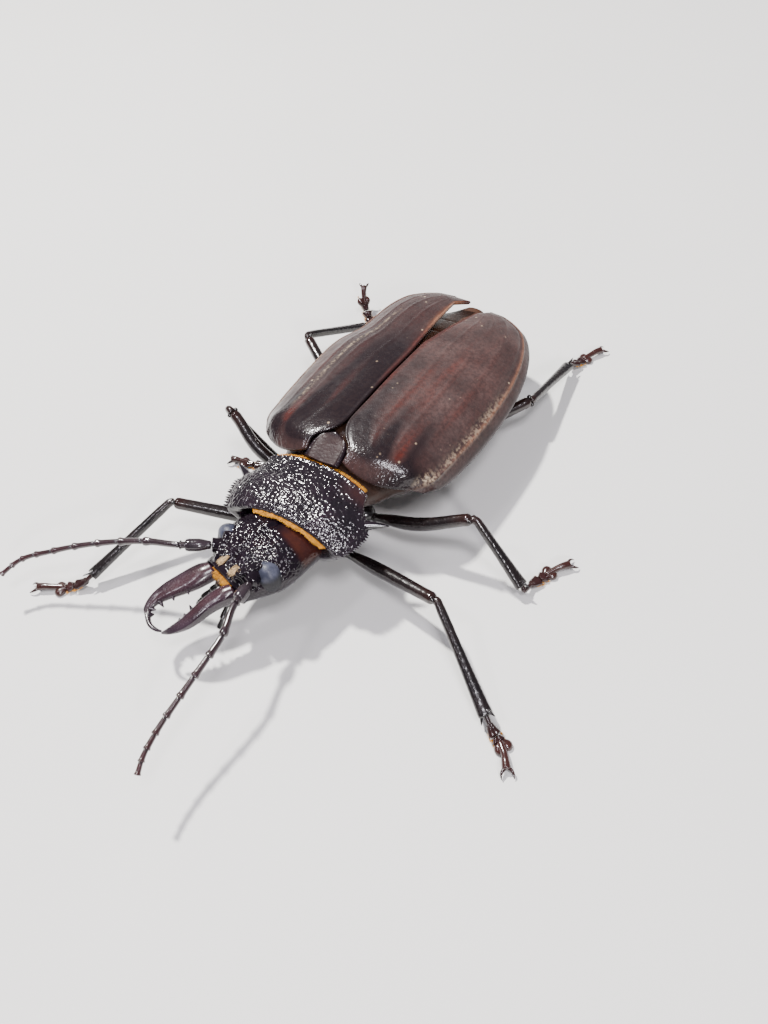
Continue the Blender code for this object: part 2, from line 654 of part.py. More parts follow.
def round_corner(before, corner, after, radius):
    """Points on an arc that touches the straights before and after a corner."""
    upper, lower = unit(corner - before), unit(after - corner)
    turn = math.acos(float(np.clip(np.dot(upper, lower), -1.0, 1.0)))
    centre = corner + unit(lower - upper) * radius / math.cos(turn / 2)
    start = corner - upper * radius * math.tan(turn / 2)
    outward = unit(start - centre)
    angles = np.linspace(0, turn, max(3, round(turn / 0.4)))
    return np.array([centre + radius * (outward * math.cos(a) + upper * math.sin(a)) for a in angles])


def make_leg(name, mats, parts, helpers):
    hip, knee, ankle, lobes, claw_tip = (np.array(point, float) for point in LEGS[name])
    sign = 1.0 if hip[0] > 0 else -1.0
    upper = unit(knee - hip)

    coxa_centre = (sign * COXA_CENTRE_X, hip[1], COXA_HEIGHT)
    coxa = ellipsoid("coxa_" + name, coxa_centre, COXA_RADII, mats["leg"], parts)
    slice_off(coxa, hip, upper)

    arc = round_corner(hip, knee, ankle, KNEE_RADIUS)
    start = hip + GAP * upper
    share = np.linspace(0, 1, 9)[:, None]
    line = start + share * (arc[0] - GAP * upper - start)
    line += 16 * share**2 * (1 - share) ** 2 * FEMUR_BOW.get(name, (0.0, 0.0, 0.0))
    profile = np.array(FEMUR_PROFILE)
    rings = tube_rings(line, profile * FEMUR_WIDTH / 2, profile * FEMUR_HEIGHT / 2, 10, upper, upper)
    loft("femur_" + name, rings, mats["leg"], parts)

    lower = unit(ankle - arc[-1])
    straight = arc[-1] + np.linspace(0, 1, 7)[1:, None] * (ankle - arc[-1])
    line = np.vstack([arc, straight])
    neck = np.full(len(arc), TIBIA_WIDTH / 2 * KNEE_SHARE)
    along = np.linspace(0, 1, 7)[1:]
    width = np.concatenate([neck, TIBIA_WIDTH / 2 + (TIBIA_END_WIDTH - TIBIA_WIDTH) / 2 * along**2])
    height = np.concatenate([neck, np.full(6, TIBIA_HEIGHT / 2)])
    rings = tube_rings(line, width, height, 10, first=upper, last=lower)
    tibia = loft("tibia_" + name, rings, mats["leg"], parts)
    level = unit(np.cross(lower, lobes - ankle))
    spurs = []
    for turn, share in ((-1.0, 1.0), (1.0, 0.8)):
        root = ankle - lower * (0.85 + 0.1 * share) + level * turn * SPUR_SPREAD[0]
        outward = level * turn * (TIBIA_END_WIDTH / 2 + SPUR_SPREAD[1])
        tip = ankle + lower * (SPUR_LENGTH * share - 0.9) + outward
        spurs.append(spike("spur", root, tip, SPUR_RADIUS, 6, mats["leg"], helpers))
    boolean(tibia, spurs, "UNION")
    make_foot(name, lower, ankle, lobes, claw_tip, mats, parts, helpers)


def make_foot(name, lower, ankle, lobes, claw_tip, mats, parts, helpers):
    """Three pads, the last of two lobes, a slender claw joint and a pair of hooked claws."""
    start = ankle + lower * GAP
    corner = np.array(FOOT_CORNER.get(name, ankle + lower * FOOT_NECK.get(name, USUAL_NECK)))
    radii = [NECK_RADIUS] * 4
    within = corner + (lobes - corner) * NECK_DEPTH
    neck = tube_rings([start, start + lower * NECK_BEND, corner, within], radii, radii, 7, first=lower)
    rise = 3.0 if lobes[2] > corner[2] else 0.6
    line = []
    for share, _ in PAD_OUTLINE:
        line.append(corner + (lobes - corner) * (share, share, max(share, 0.0) ** rise))
    wide = np.array(PAD_OUTLINE)[:, 1]
    pads = tube_rings(line, wide * PAD_WIDTH / 2, (0.75 + 0.25 * wide) * PAD_HEIGHT / 2, 8)
    foot = loft("tarsus_" + name, pads, mats["foot"], parts)
    heading = unit(line[-1] - line[-2])
    level = unit(np.cross(heading, (0.0, 0.0, 1.0)))
    end = line[-1]
    pieces = [loft("neck", neck, mats["foot"], helpers)]
    for turn, share in ((-1.0, 1.0), (1.0, 0.93)):
        root = end - heading * (1.3 - 0.15 * share) + level * turn * 0.1
        tip = end + heading * share + level * turn * LOBE_SPREAD
        lobe = np.linspace(root, tip, 4)
        radii = np.array(LOBE_RADII) * share
        pieces.append(loft("lobe", tube_rings(lobe, radii, radii * 0.85, 8), mats["foot"], helpers))
    reach = claw_tip - end
    joint = np.array([end - heading * 0.9, end + reach * 0.25, end + reach * 0.5, end + reach * 0.75])
    joint[:, 2] += CLAW_JOINT_ARCH
    radii = np.array(CLAW_JOINT_OUTLINE) * CLAW_JOINT_RADIUS
    pieces.append(loft("claw_joint", tube_rings(joint, radii, radii, 8), mats["foot"], helpers))
    ahead = unit(reach)
    sideways = unit(np.cross(ahead, (0.0, 0.0, 1.0)))
    for turn, share in ((-1.0, 1.0), (1.0, 0.93)):
        root = joint[-1] - ahead * 0.4 * share + sideways * turn * 0.15
        tip = claw_tip + sideways * turn * CLAW_SPREAD * share - (0.0, 0.0, CLAW_HOOK[0])
        bend = sideways * turn * CLAW_HOOK[0] + (0.0, 0.0, CLAW_HOOK[1])
        pieces.append(spike("claw", root, tip, CLAW_RADIUS, 6, mats["foot"], helpers, bend))
    boolean(foot, pieces, "UNION")
    slice_off(foot, (0.0, 0.0, 0.0), (0.0, 0.0, -1.0))
    return foot


def cut_sockets(mats, helpers):
    """Hollows in the body's underside for the hips, a gap wider than the hips themselves."""
    owners = (("pronotum", "front"), ("mesothorax", "middle"), ("metathorax", "hind"))
    grown = [radius + GAP for radius in COXA_RADII]
    for owner, pair in owners:
        cutters = []
        for side, sign in (("left", 1.0), ("right", -1.0)):
            y = LEGS[f"{pair}_{side}"][0][1]
            centre = (sign * COXA_CENTRE_X, y, COXA_HEIGHT)
            cutters.append(ellipsoid("socket", centre, grown, mats["leg"], helpers))
        boolean(bpy.data.objects[owner], cutters, "DIFFERENCE")


def finish(parts):
    """Smooth shading, and one empty that carries every part to its place."""
    root = bpy.data.objects.new("beetle_root", None)
    root.location = (-CENTRE_OF_BOX[0] * MM, -CENTRE_OF_BOX[1] * MM, 0.0)
    parts.objects.link(root)
    for part in parts.objects:
        if part.type != "MESH":
            continue
        part.data.shade_smooth()
        part.data.set_sharp_from_angle(angle=math.radians(40))
        part.parent = root


def main():
    clear_scene()
    parts = make_collection("macrodontia_crenata")
    helpers = make_collection("cutters", hidden=True)
    mats = {
        "black": make_material("black_cuticle", (0.016, 0.011, 0.010), 0.35),
        "elytra": make_material("chestnut_elytra", (0.060, 0.024, 0.016), 0.38),
        "brown": make_material("brown_cuticle", (0.050, 0.022, 0.012), 0.4),
        "mandible": make_material("purple_brown_mandible", (0.070, 0.036, 0.036), 0.3),
        "leg": make_material("glossy_dark_leg", (0.020, 0.010, 0.009), 0.25),
        "foot": make_material("red_brown_foot", (0.055, 0.016, 0.010), 0.4),
        "eye": make_material("grey_eye", (0.10, 0.11, 0.14), 0.5),
    }
    make_head(mats, parts, helpers)
    for side in ("left", "right"):
        make_mandible(side, mats, parts, helpers)
        make_antenna(side, mats, parts)
        make_elytron(side, mats, parts)
    make_mouthparts(mats, parts)
    make_pronotum(mats, parts, helpers)
    make_scutellum(mats, parts)
    front_bow = HIND_BOW * (MESOTHORAX_STATIONS[0][1] / PRONOTUM_STATIONS[-1][1]) ** 2
    bows = [front_bow, front_bow / 2] + [0.0] * (len(MESOTHORAX_STATIONS) - 2)
    body_loft("mesothorax", MESOTHORAX_STATIONS, 24, HIND_BODY_POWERS, mats["brown"], parts, bows)
    body_loft("metathorax", METATHORAX_STATIONS, 24, HIND_BODY_POWERS, mats["brown"], parts)
    make_abdomen(mats, parts)
    cut_sockets(mats, helpers)
    for name in LEGS:
        make_leg(name, mats, parts, helpers)
    bpy.data.collections.remove(helpers)
    finish(parts)


main()
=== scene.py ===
"""Looks of a large sawyer beetle, a life-size still model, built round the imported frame.

Lengths are millimetres in the beetle's own frame: x to its left, y to its rear, z up, the
floor at z = 0 and x = y = 0 under the middle of the hind edge of the pronotum. make_piece
carries every mesh over to the row's frame, in metres.
"""
import math

import bpy
import numpy as np
from mathutils import Matrix, Vector


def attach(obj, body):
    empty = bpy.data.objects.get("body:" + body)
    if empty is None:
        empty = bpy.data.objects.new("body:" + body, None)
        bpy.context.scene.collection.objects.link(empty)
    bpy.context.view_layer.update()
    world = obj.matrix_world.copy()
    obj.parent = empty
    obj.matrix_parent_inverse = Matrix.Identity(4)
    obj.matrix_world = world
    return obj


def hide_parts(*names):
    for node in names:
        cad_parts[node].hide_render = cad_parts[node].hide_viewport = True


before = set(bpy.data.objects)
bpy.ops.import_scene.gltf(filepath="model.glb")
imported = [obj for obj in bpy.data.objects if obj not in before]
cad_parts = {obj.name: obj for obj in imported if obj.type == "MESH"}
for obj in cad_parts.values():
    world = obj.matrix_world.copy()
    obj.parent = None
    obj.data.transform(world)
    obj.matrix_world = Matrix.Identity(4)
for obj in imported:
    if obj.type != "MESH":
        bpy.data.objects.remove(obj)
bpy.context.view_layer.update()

MM = 0.001
GAP = 0.3
CENTRE_OF_BOX = np.array((3.45, 5.1, 0.0))

# Camera: place, azimuth, elevation and roll in degrees, and focal length in pixels
CAMERA_PLACE = (69.071, -76.721, 122.97)
CAMERA_AZIMUTH = 37.081
CAMERA_ELEVATION = 49.579
CAMERA_ROLL = -7.659
FOCAL_PIXELS = 873.03
IMAGE_HEIGHT = 1024
SENSOR_WIDTH = 36.0

# Lights: name, place and aim in metres, size in metres, power in watts and colour
LIGHTS = (
    ("key", (-0.39, 0.12, 0.73), (0.0, 0.0, 0.01), 0.05, 17.0, (1.0, 0.97, 0.94)),
    ("upper_left", (0.29, -0.20, 0.77), (0.0, 0.0, 0.0), 0.17, 4.6, (0.97, 0.93, 1.0)),
    ("front_right", (-0.34, -0.37, 0.74), (0.0, 0.0, 0.01), 0.10, 1.7, (0.97, 0.91, 1.0)),
    ("front_left", (0.55, -0.50, 0.45), (0.0, 0.0, 0.01), 0.09, 4.2, (1.0, 0.96, 1.0)),
)
SKY_COLOUR = (0.86, 0.86, 0.95, 1.0)
SKY_STRENGTH = 0.28
FLOOR_HALF_WIDTH = 3.0

# Horny finishes: name, dark, light and warm tones, roughness, coat, pits to the metre, depth of
# the pits in metres, gloss
CUTICLES = {
    "black": ("granular_black", (0.0040, 0.0020, 0.0042), (0.0110, 0.0055, 0.0100),
              (0.060, 0.016, 0.008), 0.16, 0.2, 4200.0, 0.000007, 0.75),
    "head": ("granular_head_black", (0.0036, 0.0020, 0.0040), (0.0095, 0.0050, 0.0090),
             (0.060, 0.016, 0.008), 0.12, 0.0, 4200.0, 0.000006, 0.34),
    "jaw": ("plum_jaw", (0.0090, 0.0052, 0.0085), (0.0290, 0.0175, 0.0260),
            (0.042, 0.012, 0.016), 0.26, 0.2, 3000.0, 0.000010, 0.5),
    "leg": ("glossy_leg", (0.0032, 0.0020, 0.0024), (0.0080, 0.0040, 0.0040),
            (0.034, 0.009, 0.006), 0.23, 0.2, 2600.0, 0.000010, 0.6),
    "feeler": ("satin_feeler", (0.0100, 0.0070, 0.0095), (0.0260, 0.0180, 0.0230),
               (0.034, 0.009, 0.010), 0.20, 0.3, 2600.0, 0.000010, 0.65),
    "foot": ("red_brown_foot", (0.0100, 0.0035, 0.0038), (0.0260, 0.0080, 0.0075),
             (0.060, 0.016, 0.010), 0.24, 0.25, 2600.0, 0.000010, 0.5),
    "brown": ("brown_shell", (0.010, 0.005, 0.0035), (0.024, 0.011, 0.007),
              (0.075, 0.028, 0.012), 0.42, 0.1, 2400.0, 0.000015, 0.35),
    "plate": ("scutellum_shell", (0.006, 0.0035, 0.006), (0.017, 0.009, 0.012),
              (0.030, 0.013, 0.011), 0.42, 0.0, 2400.0, 0.000015, 0.17),
}
CUTICLE_DUST = (0.5, 0.42, 0.33)
WING_CASE_TONES = {
    "deep": (0.031, 0.0165, 0.0150), "chestnut": (0.068, 0.038, 0.034),
    "red": (0.080, 0.0155, 0.0105), "rim": (0.29, 0.125, 0.065),
    # black: the tone of the mark dark, which on the right wing case is partly painted shade
    "black": (0.0085, 0.0045, 0.0060), "grain": (0.016, 0.009, 0.009), "dust": (0.42, 0.32, 0.22),
}

# Grids: rings along by points around each, and on a wing case rows along by columns across
PRONOTUM_GRID = (156, 572)
HEAD_GRID = (150, 400)
JAW_GRID = (150, 60)
SCUTELLUM_GRID = (60, 120)
ELYTRON_GRID = (300, 150)

# Granules: spacing of the big ones, side of the table of random numbers that repeats over a
# surface, and how far a grain reaches in shares of the spacing
BIG_GRAIN = 0.66
GRAIN_TABLE = 61
GRAIN_REACH = 0.62

# Head, in its own frame before it turns: y, half width, top, side and bottom heights
HEAD_TURN = math.radians(-18.0)
HEAD_PIVOT = np.array((0.0, -13.0, 13.0))
HEAD_FRONT = -25.5
HEAD_STATIONS = (
    (-10.5, 7.0, 15.6, 11.5, 7.0), (-14.5, 7.5, 16.0, 11.5, 6.8), (-17.0, 7.8, 15.9, 11.4, 6.9),
    (-19.5, 7.7, 15.5, 11.3, 7.1), (-21.5, 7.0, 15.0, 11.2, 7.3), (-23.2, 6.1, 14.4, 11.0, 7.5),
    (-24.6, 5.5, 13.8, 10.9, 7.8), (HEAD_FRONT, 5.2, 13.2, 10.8, 8.0),
)
EYE_CENTRE = np.array((5.7, -20.2, 12.4))
EYE_RADII = np.array((2.7, 2.3, 3.0))
EYE_SIZE = 0.93
EYE_SET = (-0.3, 0.0, 0.2)
# Ridges of the left brow in plan: start, end, width and height
BROW_RIDGES = (
    ((2.7, -24.2), (4.6, -20.6), 0.6, 0.75),
    ((4.6, -20.6), (4.9, -17.6), 0.55, 0.3),
)
ANTENNA_ROOT = (5.4, -23.6, 13.9)
SOCKET_RADIUS = 1.2
SOCKET_LENGTH = 3.0

# Mandibles: centre line from the root in the head's frame, with half width and half height
MANDIBLE_ROOT = (3.05, HEAD_FRONT - GAP, 11.3)
MANDIBLE_LINES = {
    "left": (
        (0.0, 0.0, 0.0, 1.6, 1.6), (-0.5, -1.4, -0.1, 1.65, 1.6), (-1.0, -3.0, -0.4, 1.55, 1.45),
        (-1.3, -4.9, -0.8, 1.45, 1.25), (-1.5, -6.7, -1.4, 1.35, 1.1), (-2.0, -8.4, -2.1, 1.2, 0.95),
        (-2.8, -9.9, -2.8, 0.9, 0.75), (-3.7, -11.1, -3.5, 0.55, 0.5), (-4.5, -11.9, -4.0, 0.22, 0.2),
    ),
    "right": (
        (0.0, 0.0, 0.0, 1.75, 1.6), (0.4, -1.4, -0.1, 1.9, 1.65), (0.95, -3.2, -0.35, 2.0, 1.5),
        (1.7, -5.1, -0.75, 1.85, 1.25), (2.5, -7.2, -1.2, 1.55, 1.05), (3.0, -9.3, -1.7, 1.1, 0.8),
        (2.7, -11.1, -2.1, 0.68, 0.6), (1.6, -12.1, -2.3, 0.48, 0.45), (0.0, -12.7, -2.4, 0.4, 0.4),
        (-1.4, -12.5, -2.5, 0.32, 0.3), (-2.3, -12.0, -2.6, 0.18, 0.16),
    ),
}
TOOTH_PLACES = (0.26, 0.38, 0.5, 0.61, 0.7)
TOOTH_SIZES = (0.6, 0.75, 1.2, 0.7, 0.6)
JAW_TOOTH_RADIUS = 0.55
PALP_LINE = ((1.9, -25.8, 8.9), (2.3, -27.4, 8.2), (2.9, -29.0, 7.0), (3.2, -30.2, 5.6))
PALP_RADIUS = 0.42

# Antennae: centre lines, and the lengths of the eleven joints as shares of the whole
ANTENNA_LINES = {
    "left": (
        (2.5, -29.6, 14.3), (3.9, -34.1, 13.9), (4.1, -39.4, 13.3), (4.0, -44.5, 12.5),
        (4.1, -51.0, 11.5), (4.6, -54.4, 11.0), (5.4, -56.8, 10.4),
    ),
    "right": (
        (-12.8, -24.2, 14.5), (-18.4, -25.7, 13.8), (-26.4, -28.9, 12.4),
        (-34.9, -33.6, 10.4), (-40.5, -37.4, 8.5), (-42.2, -40.4, 7.2),
    ),
}
JOINT_SHARES = (0.105, 0.02, 0.18, 0.115, 0.11, 0.11, 0.10, 0.085, 0.07, 0.055, 0.06)
ANTENNA_PARTS = (("scape", 0, 1), ("middle", 1, 6), ("tip", 6, 11))
SCAPE_RADIUS = 0.95
FEELER_RADIUS = 0.7
FEELER_TIP_RADIUS = 0.45

# Pronotum: y, half width, top, side and bottom heights; both ends bow forward at their sides
PRONOTUM_STATIONS = (
    (-13.1, 10.9, 16.9, 13.7, 8.6), (-12.6, 11.6, 17.4, 13.7, 6.9), (-11.7, 12.2, 17.9, 13.8, 5.9),
    (-10.2, 12.8, 18.3, 13.9, 5.4), (-8.4, 13.0, 18.5, 14.0, 5.4), (-7.0, 12.8, 18.5, 14.1, 5.4),
    (-5.9, 12.0, 18.45, 14.4, 5.5), (-4.7, 10.9, 18.35, 15.0, 5.9), (-3.2, 10.2, 18.1, 15.5, 6.6),
    (-1.2, 9.7, 17.8, 15.9, 7.6),
)
FRONT_BOWS = ((-13.1, -0.9), (-12.6, -0.6), (-11.7, -0.3), (-10.2, 0.0))
HIND_BOW = -1.0
# Rings inside the front opening: share of the front ring's size, and distance to the rear
NECK_OPENING = ((0.66, 2.4), (0.74, 1.0), (0.86, 0.3), (0.95, 0.02))
LATERAL_SPINE = ((11.2, -7.2, 14.1), (15.5, -4.9, 14.0))
SPINE_BEND = (0.12, 0.22, 0.1)
SPINE_RADIUS = 0.95
EDGE_TEETH = 12
TEETH_FROM = -13.3
TEETH_TO = -7.9
TOOTH_LENGTH = 0.75
TOOTH_RADIUS = 0.42

SCUTELLUM_STATIONS = (
    (-0.85, 3.3, 18.4), (1.0, 3.35, 19.2), (2.4, 3.1, 19.8), (3.6, 2.3, 20.2), (4.4, 0.9, 20.3),
)
SCUTELLUM_UNDERSIDE = 17.45

# Elytra: outer and inner edges in plan, then heights of both edges from base to apex
ELYTRON_OUTER = (
    (16.4, 4.4), (18.5, 7.6), (19.3, 11.5), (19.9, 17.0), (20.2, 23.0), (20.2, 29.0),
    (19.7, 35.0), (18.4, 41.0), (16.2, 46.6), (13.2, 50.6), (8.6, 53.0), (4.0, 53.8),
)
ELYTRON_OUTER_HEIGHT = (12.9, 12.2, 11.8, 11.5, 11.3, 11.3, 11.2, 11.2, 11.2, 11.4, 11.8, 12.1)
ELYTRON_INNER = (
    (3.75, 0.2), (3.5, 2.6), (1.4, 4.9), (0.2, 8.0), (0.2, 14.0), (0.2, 21.0),
    (0.2, 28.0), (0.2, 34.5), (0.2, 40.5), (0.2, 46.0), (0.2, 50.0), (0.2, 52.8),
)
ELYTRON_INNER_HEIGHT = (18.8, 19.9, 20.3, 20.3, 20.0, 19.6, 18.9, 18.0, 16.8, 15.2, 13.9, 12.8)
ELYTRON_GAPE = {"left": (34.0, 2.5, 0.8), "right": (29.0, 2.3, 1.3)}
ELYTRON_HOOK = {"left": (0.0, -1.3, 0.0), "right": (-2.0, 1.2, -0.8)}
HOOK_SHARE = 0.1
ELYTRON_BASE_BOW = 2.3
ELYTRON_BASE_DROP = 1.9
BASE_SHARE = 0.21
ELYTRON_LIFT = {"left": 0.0, "right": 1.5}
ELYTRON_PINCH = {"left": 0.0, "right": 1.9}
PINCH_AT = 38.0
PINCH_REACH = (4.0, 9.0)
LIFT_FROM = (34.0, 50.0)
ELYTRON_THICKNESS = 1.0
RIBS = (0.27, 0.50, 0.70)

# Stripes of a wing case's marks: strength, place and width across it, and the shares of its
# length over which the stripe grows and fades
FROM_BASE = (-1.0, 0.0)
TO_APEX = (2.0, 1.0)
STRIPES = {
    "warm": (
        (1.0, 0.53, 0.07, (0.08, 0.12), (0.34, 0.14)), (0.75, 0.27, 0.065, (0.08, 0.2), (0.62, 0.3)),
        (0.4, 0.45, 0.065, (0.25, 0.35), (0.7, 0.5)), (0.35, 0.7, 0.04, (0.2, 0.3), (0.75, 0.45)),
        (0.75, 0.02, 0.035, (0.25, 0.5), TO_APEX),
    ),
    "rim": ((0.45, 0.92, 0.011, (0.12, 0.3), (0.98, 0.85)),),
    "pale": ((0.35, 0.9, 0.03, (0.05, 0.2), (0.6, 0.35)),),
    "dark": (
        (0.85, 0.72, 0.16, FROM_BASE, (0.15, 0.04)), (0.8, 0.08, 0.13, (0.06, 0.2), (0.66, 0.3)),
        (0.7, 0.4, 0.055, (0.06, 0.14), (0.45, 0.2)), (0.6, 0.64, 0.06, (0.04, 0.1), (0.4, 0.2)),
        (0.85, 0.25, 0.2, (0.04, 0.1), (0.42, 0.16)),
    ),
}
RIGHT_STRIPES = {
    "warm": ((0.6, 0.45, 0.07, (0.03, 0.07), (0.2, 0.1)),),
    "rim": ((0.9, 0.0, 0.055, (0.62, 0.76), (0.99, 0.93)),),
    "pale": ((0.45, 0.6, 0.02, (0.15, 0.25), (0.75, 0.6)),),
    # painted shade: the right wing case's dark stripe, for the side turned away from the light
    "dark": ((1.1, 0.2, 0.38, (0.0, 0.1), (0.78, 0.4)),),
}

# Hind body under the wing cases: y, half width, top, side and bottom heights
HIND_BODY_POWERS = (1.0, 1.4)
MESOTHORAX_STATIONS = (
    (-0.9, 8.7, 16.9, 13.2, 7.4), (1.2, 10.0, 17.1, 12.0, 6.2), (4.6, 12.0, 17.15, 11.2, 5.6),
    (6.2, 13.4, 18.6, 10.8, 5.5), (8.2, 14.6, 18.95, 10.7, 5.4),
)
METATHORAX_STATIONS = (
    (8.5, 14.7, 18.95, 10.7, 5.4), (12.0, 15.3, 18.85, 10.6, 5.2),
    (17.0, 15.6, 18.55, 10.6, 5.1), (22.5, 15.7, 18.15, 10.6, 5.4),
)
ABDOMEN_STATIONS = (
    (22.8, 15.6, 18.15, 10.6, 5.5), (29.0, 15.5, 17.3, 10.5, 5.7), (35.0, 14.8, 16.3, 10.4, 6.2),
    (41.0, 13.4, 15.0, 10.3, 6.9), (46.5, 11.0, 13.2, 10.1, 7.7), (50.0, 7.8, 11.9, 9.9, 8.5),
    (52.4, 4.8, 11.3, 10.0, 8.9), (55.0, 2.0, 11.2, 10.4, 9.7),
)
STERNITES = 5
BELLY_END = 53.0

# Legs: hip, knee corner and ankle; then the foot's lobes and claw tip on or over the floor
LEGS = {
    "front_left": ((7.2, -7.2, 4.9), (27.5, -11.0, 8.8), (41.8, -22.2, 2.5),
                   (45.6, -24.4, 0.45), (48.5, -28.6, 0.7)),
    "front_right": ((-7.2, -7.4, 4.9), (-24.0, -15.2, 10.0), (-31.6, -31.2, 2.5),
                    (-36.2, -35.2, 0.45), (-41.3, -37.8, 0.7)),
    "middle_left": ((7.4, 1.6, 4.9), (26.6, 4.0, 12.2), (36.1, 1.9, 2.4),
                    (38.5, 7.7, 0.45), (41.8, 11.8, 0.7)),
    "middle_right": ((-7.4, 2.2, 4.9), (-28.6, 5.8, 16.1), (-18.2, 6.8, 2.5),
                     (-24.9, 4.7, 0.45), (-28.4, 3.9, 0.7)),
    "hind_left": ((8.0, 20.0, 4.9), (20.9, 38.3, 8.0), (20.8, 56.2, 2.5),
                  (22.3, 61.8, 0.45), (25.0, 66.6, 0.7)),
    "hind_right": ((-8.0, 20.0, 4.9), (-27.4, 32.8, 11.0), (-25.0, 50.2, 1.7),
                   (-28.9, 56.0, 3.2), (-30.3, 58.9, 6.2)),
}
FEMUR_BOW = {"middle_left": (0.0, -0.8, -0.7), "middle_right": (-1.4, -1.05, 0.0)}
FOOT_NECK = {"hind_right": 2.6, "middle_right": 1.9}
USUAL_NECK = 1.3
FOOT_CORNER = {"middle_left": (36.95, 3.9, 1.05)}
NECK_RADIUS = 0.42
NECK_BEND = 0.6
NECK_DEPTH = 0.13
COXA_CENTRE_X = 4.7
COXA_RADII = np.array((2.9, 2.1, 1.9))
COXA_HEIGHT = 5.2
FEMUR_WIDTH = 2.35
FEMUR_HEIGHT = 2.35
FEMUR_PROFILE = (0.55, 0.72, 0.92, 1.0, 1.0, 0.97, 0.92, 0.88, 0.82)
TIBIA_WIDTH = 1.55
TIBIA_END_WIDTH = 2.45
TIBIA_HEIGHT = 1.6
KNEE_RADIUS = 1.1
KNEE_SHARE = 0.92
SPUR_LENGTH = 1.7
SPUR_RADIUS = 0.4
SPUR_SPREAD = (0.5, 0.35)
PAD_WIDTH = 2.4
PAD_HEIGHT = 1.4
PAD_OUTLINE = (
    (-0.1, 0.4), (0.04, 0.62), (0.28, 0.8), (0.44, 1.0),
    (0.5, 0.55), (0.71, 1.0), (0.77, 0.5), (1.0, 0.85),
)
PAD_SPANS = ((-0.1, 0.46), (0.47, 0.74), (0.75, 1.0))
# Side and size of each of a pair of lobes or claws
PAIR_SIZES = ((-1.0, 1.0), (1.0, 0.93))
OVER_FLOOR = 0.02
LOBE_RADIUS = 0.88
LOBE_SPREAD = 1.05
CLAW_JOINT_RADIUS = 0.5
CLAW_JOINT_ARCH = (0.25, 0.55, 0.6, 0.3)
CLAW_RADIUS = 0.36
CLAW_SPREAD = 0.9
CLAW_HOOK = (0.35, 0.25)

# Hairs of each fringe, tuft and brush, places of the tufts, and a hair's half width on its map
NECK_HAIRS = 2600
HIND_HAIRS = 1500
SCUTELLUM_HAIRS = 900
CLYPEUS_HAIRS = 420
JAW_HAIRS = 700
BRUSH_HAIRS = 420
CLYPEUS_TUFTS = ((1.75, -23.5), (-1.75, -23.6))
TUFT_REACH = 0.75
HAIR_PATCH = 0.0012


class Shell:
    """One closed mesh in millimetres: its points, faces and the marks its finish reads."""

    def __init__(self, points, quads, tris=(), marks=None, patch=None):
        self.points = np.asarray(points, float).reshape(-1, 3)
        self.quads = np.asarray(quads, int).reshape(-1, 4)
        self.tris = np.asarray(tris, int).reshape(-1, 3)
        self.marks = marks or {}
        self.patch = patch

    def outward(self):
        """The same shell with its faces turned outwards, told by the sign of its volume."""
        fans = np.vstack([self.quads[:, [0, 1, 2]], self.quads[:, [0, 2, 3]], self.tris])
        a, b, c = (self.points[fans[:, corner]] for corner in range(3))
        if np.einsum("ij,ij->", a, np.cross(b, c)) < 0:
            self.quads, self.tris = self.quads[:, ::-1], self.tris[:, ::-1]
        return self


def unit(vector):
    """The vector, or each row of them, divided by its length."""
    vector = np.asarray(vector, float)
    return vector / np.linalg.norm(vector, axis=-1, keepdims=True)


def spline(knots, values, at):
    """Catmull-Rom curve through values at rising knots, for one number or rows of numbers."""
    knots = np.asarray(knots, float)
    values = np.asarray(values, float)
    slopes = np.gradient(values, knots, axis=0)
    at = np.clip(np.atleast_1d(np.asarray(at, float)), knots[0], knots[-1])
    left = np.clip(np.searchsorted(knots, at, side="right") - 1, 0, len(knots) - 2)
    step = knots[left + 1] - knots[left]
    share = (at - knots[left]) / step
    if values.ndim > 1:
        share, step = share[:, None], step[:, None]
    square, cube = share**2, share**3
    return (
        (2 * cube - 3 * square + 1) * values[left]
        + (cube - 2 * square + share) * step * slopes[left]
        + (3 * square - 2 * cube) * values[left + 1]
        + (cube - square) * step * slopes[left + 1]
    )


def smooth_step(low, high, value):
    """0 below low and 1 above high, with an even S curve between."""
    share = np.clip((np.asarray(value, float) - low) / (high - low), 0.0, 1.0)
    return share * share * (3 - 2 * share)


def hump(value, centre, width):
    """A bell curve: 1 at the centre, falling off over the width."""
    return np.exp(-(((value - centre) / width) ** 2))


def jittered_grains(across, along, spacing, seed):
    """Round grains: nearness to the closest centre of a jittered grid, and its random number.

    Every square cell of side `spacing` holds one centre, moved at random inside it. The
    nearness is 1 at a centre and 0 from GRAIN_REACH of the spacing outwards.
    """
    table = np.random.default_rng(seed).random((GRAIN_TABLE, GRAIN_TABLE, 3))
    cell_a, cell_b = np.floor(across / spacing), np.floor(along / spacing)
    nearest = np.full(across.shape, np.inf)
    number = np.zeros(across.shape)
    for step_a in (-1, 0, 1):
        for step_b in (-1, 0, 1):
            a, b = cell_a + step_a, cell_b + step_b
            draw = table[a.astype(int) % GRAIN_TABLE, b.astype(int) % GRAIN_TABLE]
            far = np.hypot(across / spacing - a - 0.1 - 0.8 * draw[..., 0],
                           along / spacing - b - 0.1 - 0.8 * draw[..., 1])
            closer = far < nearest
            nearest = np.where(closer, far, nearest)
            number = np.where(closer, draw[..., 2], number)
    return np.clip(1 - (nearest / GRAIN_REACH) ** 2, 0.0, 1.0), number


def rugose(across, along, spacing, seed):
    """Height of coarse glossy granules: domes of two sizes, the small ones in the gaps."""
    big, number = jittered_grains(across, along, spacing, seed)
    small, fine = jittered_grains(across, along, spacing * 0.47, seed + 1)
    big_domes = np.sqrt(big) * (0.45 + 0.55 * number)
    return np.maximum(big_domes, 0.45 * np.sqrt(small) * (0.5 + 0.5 * fine))


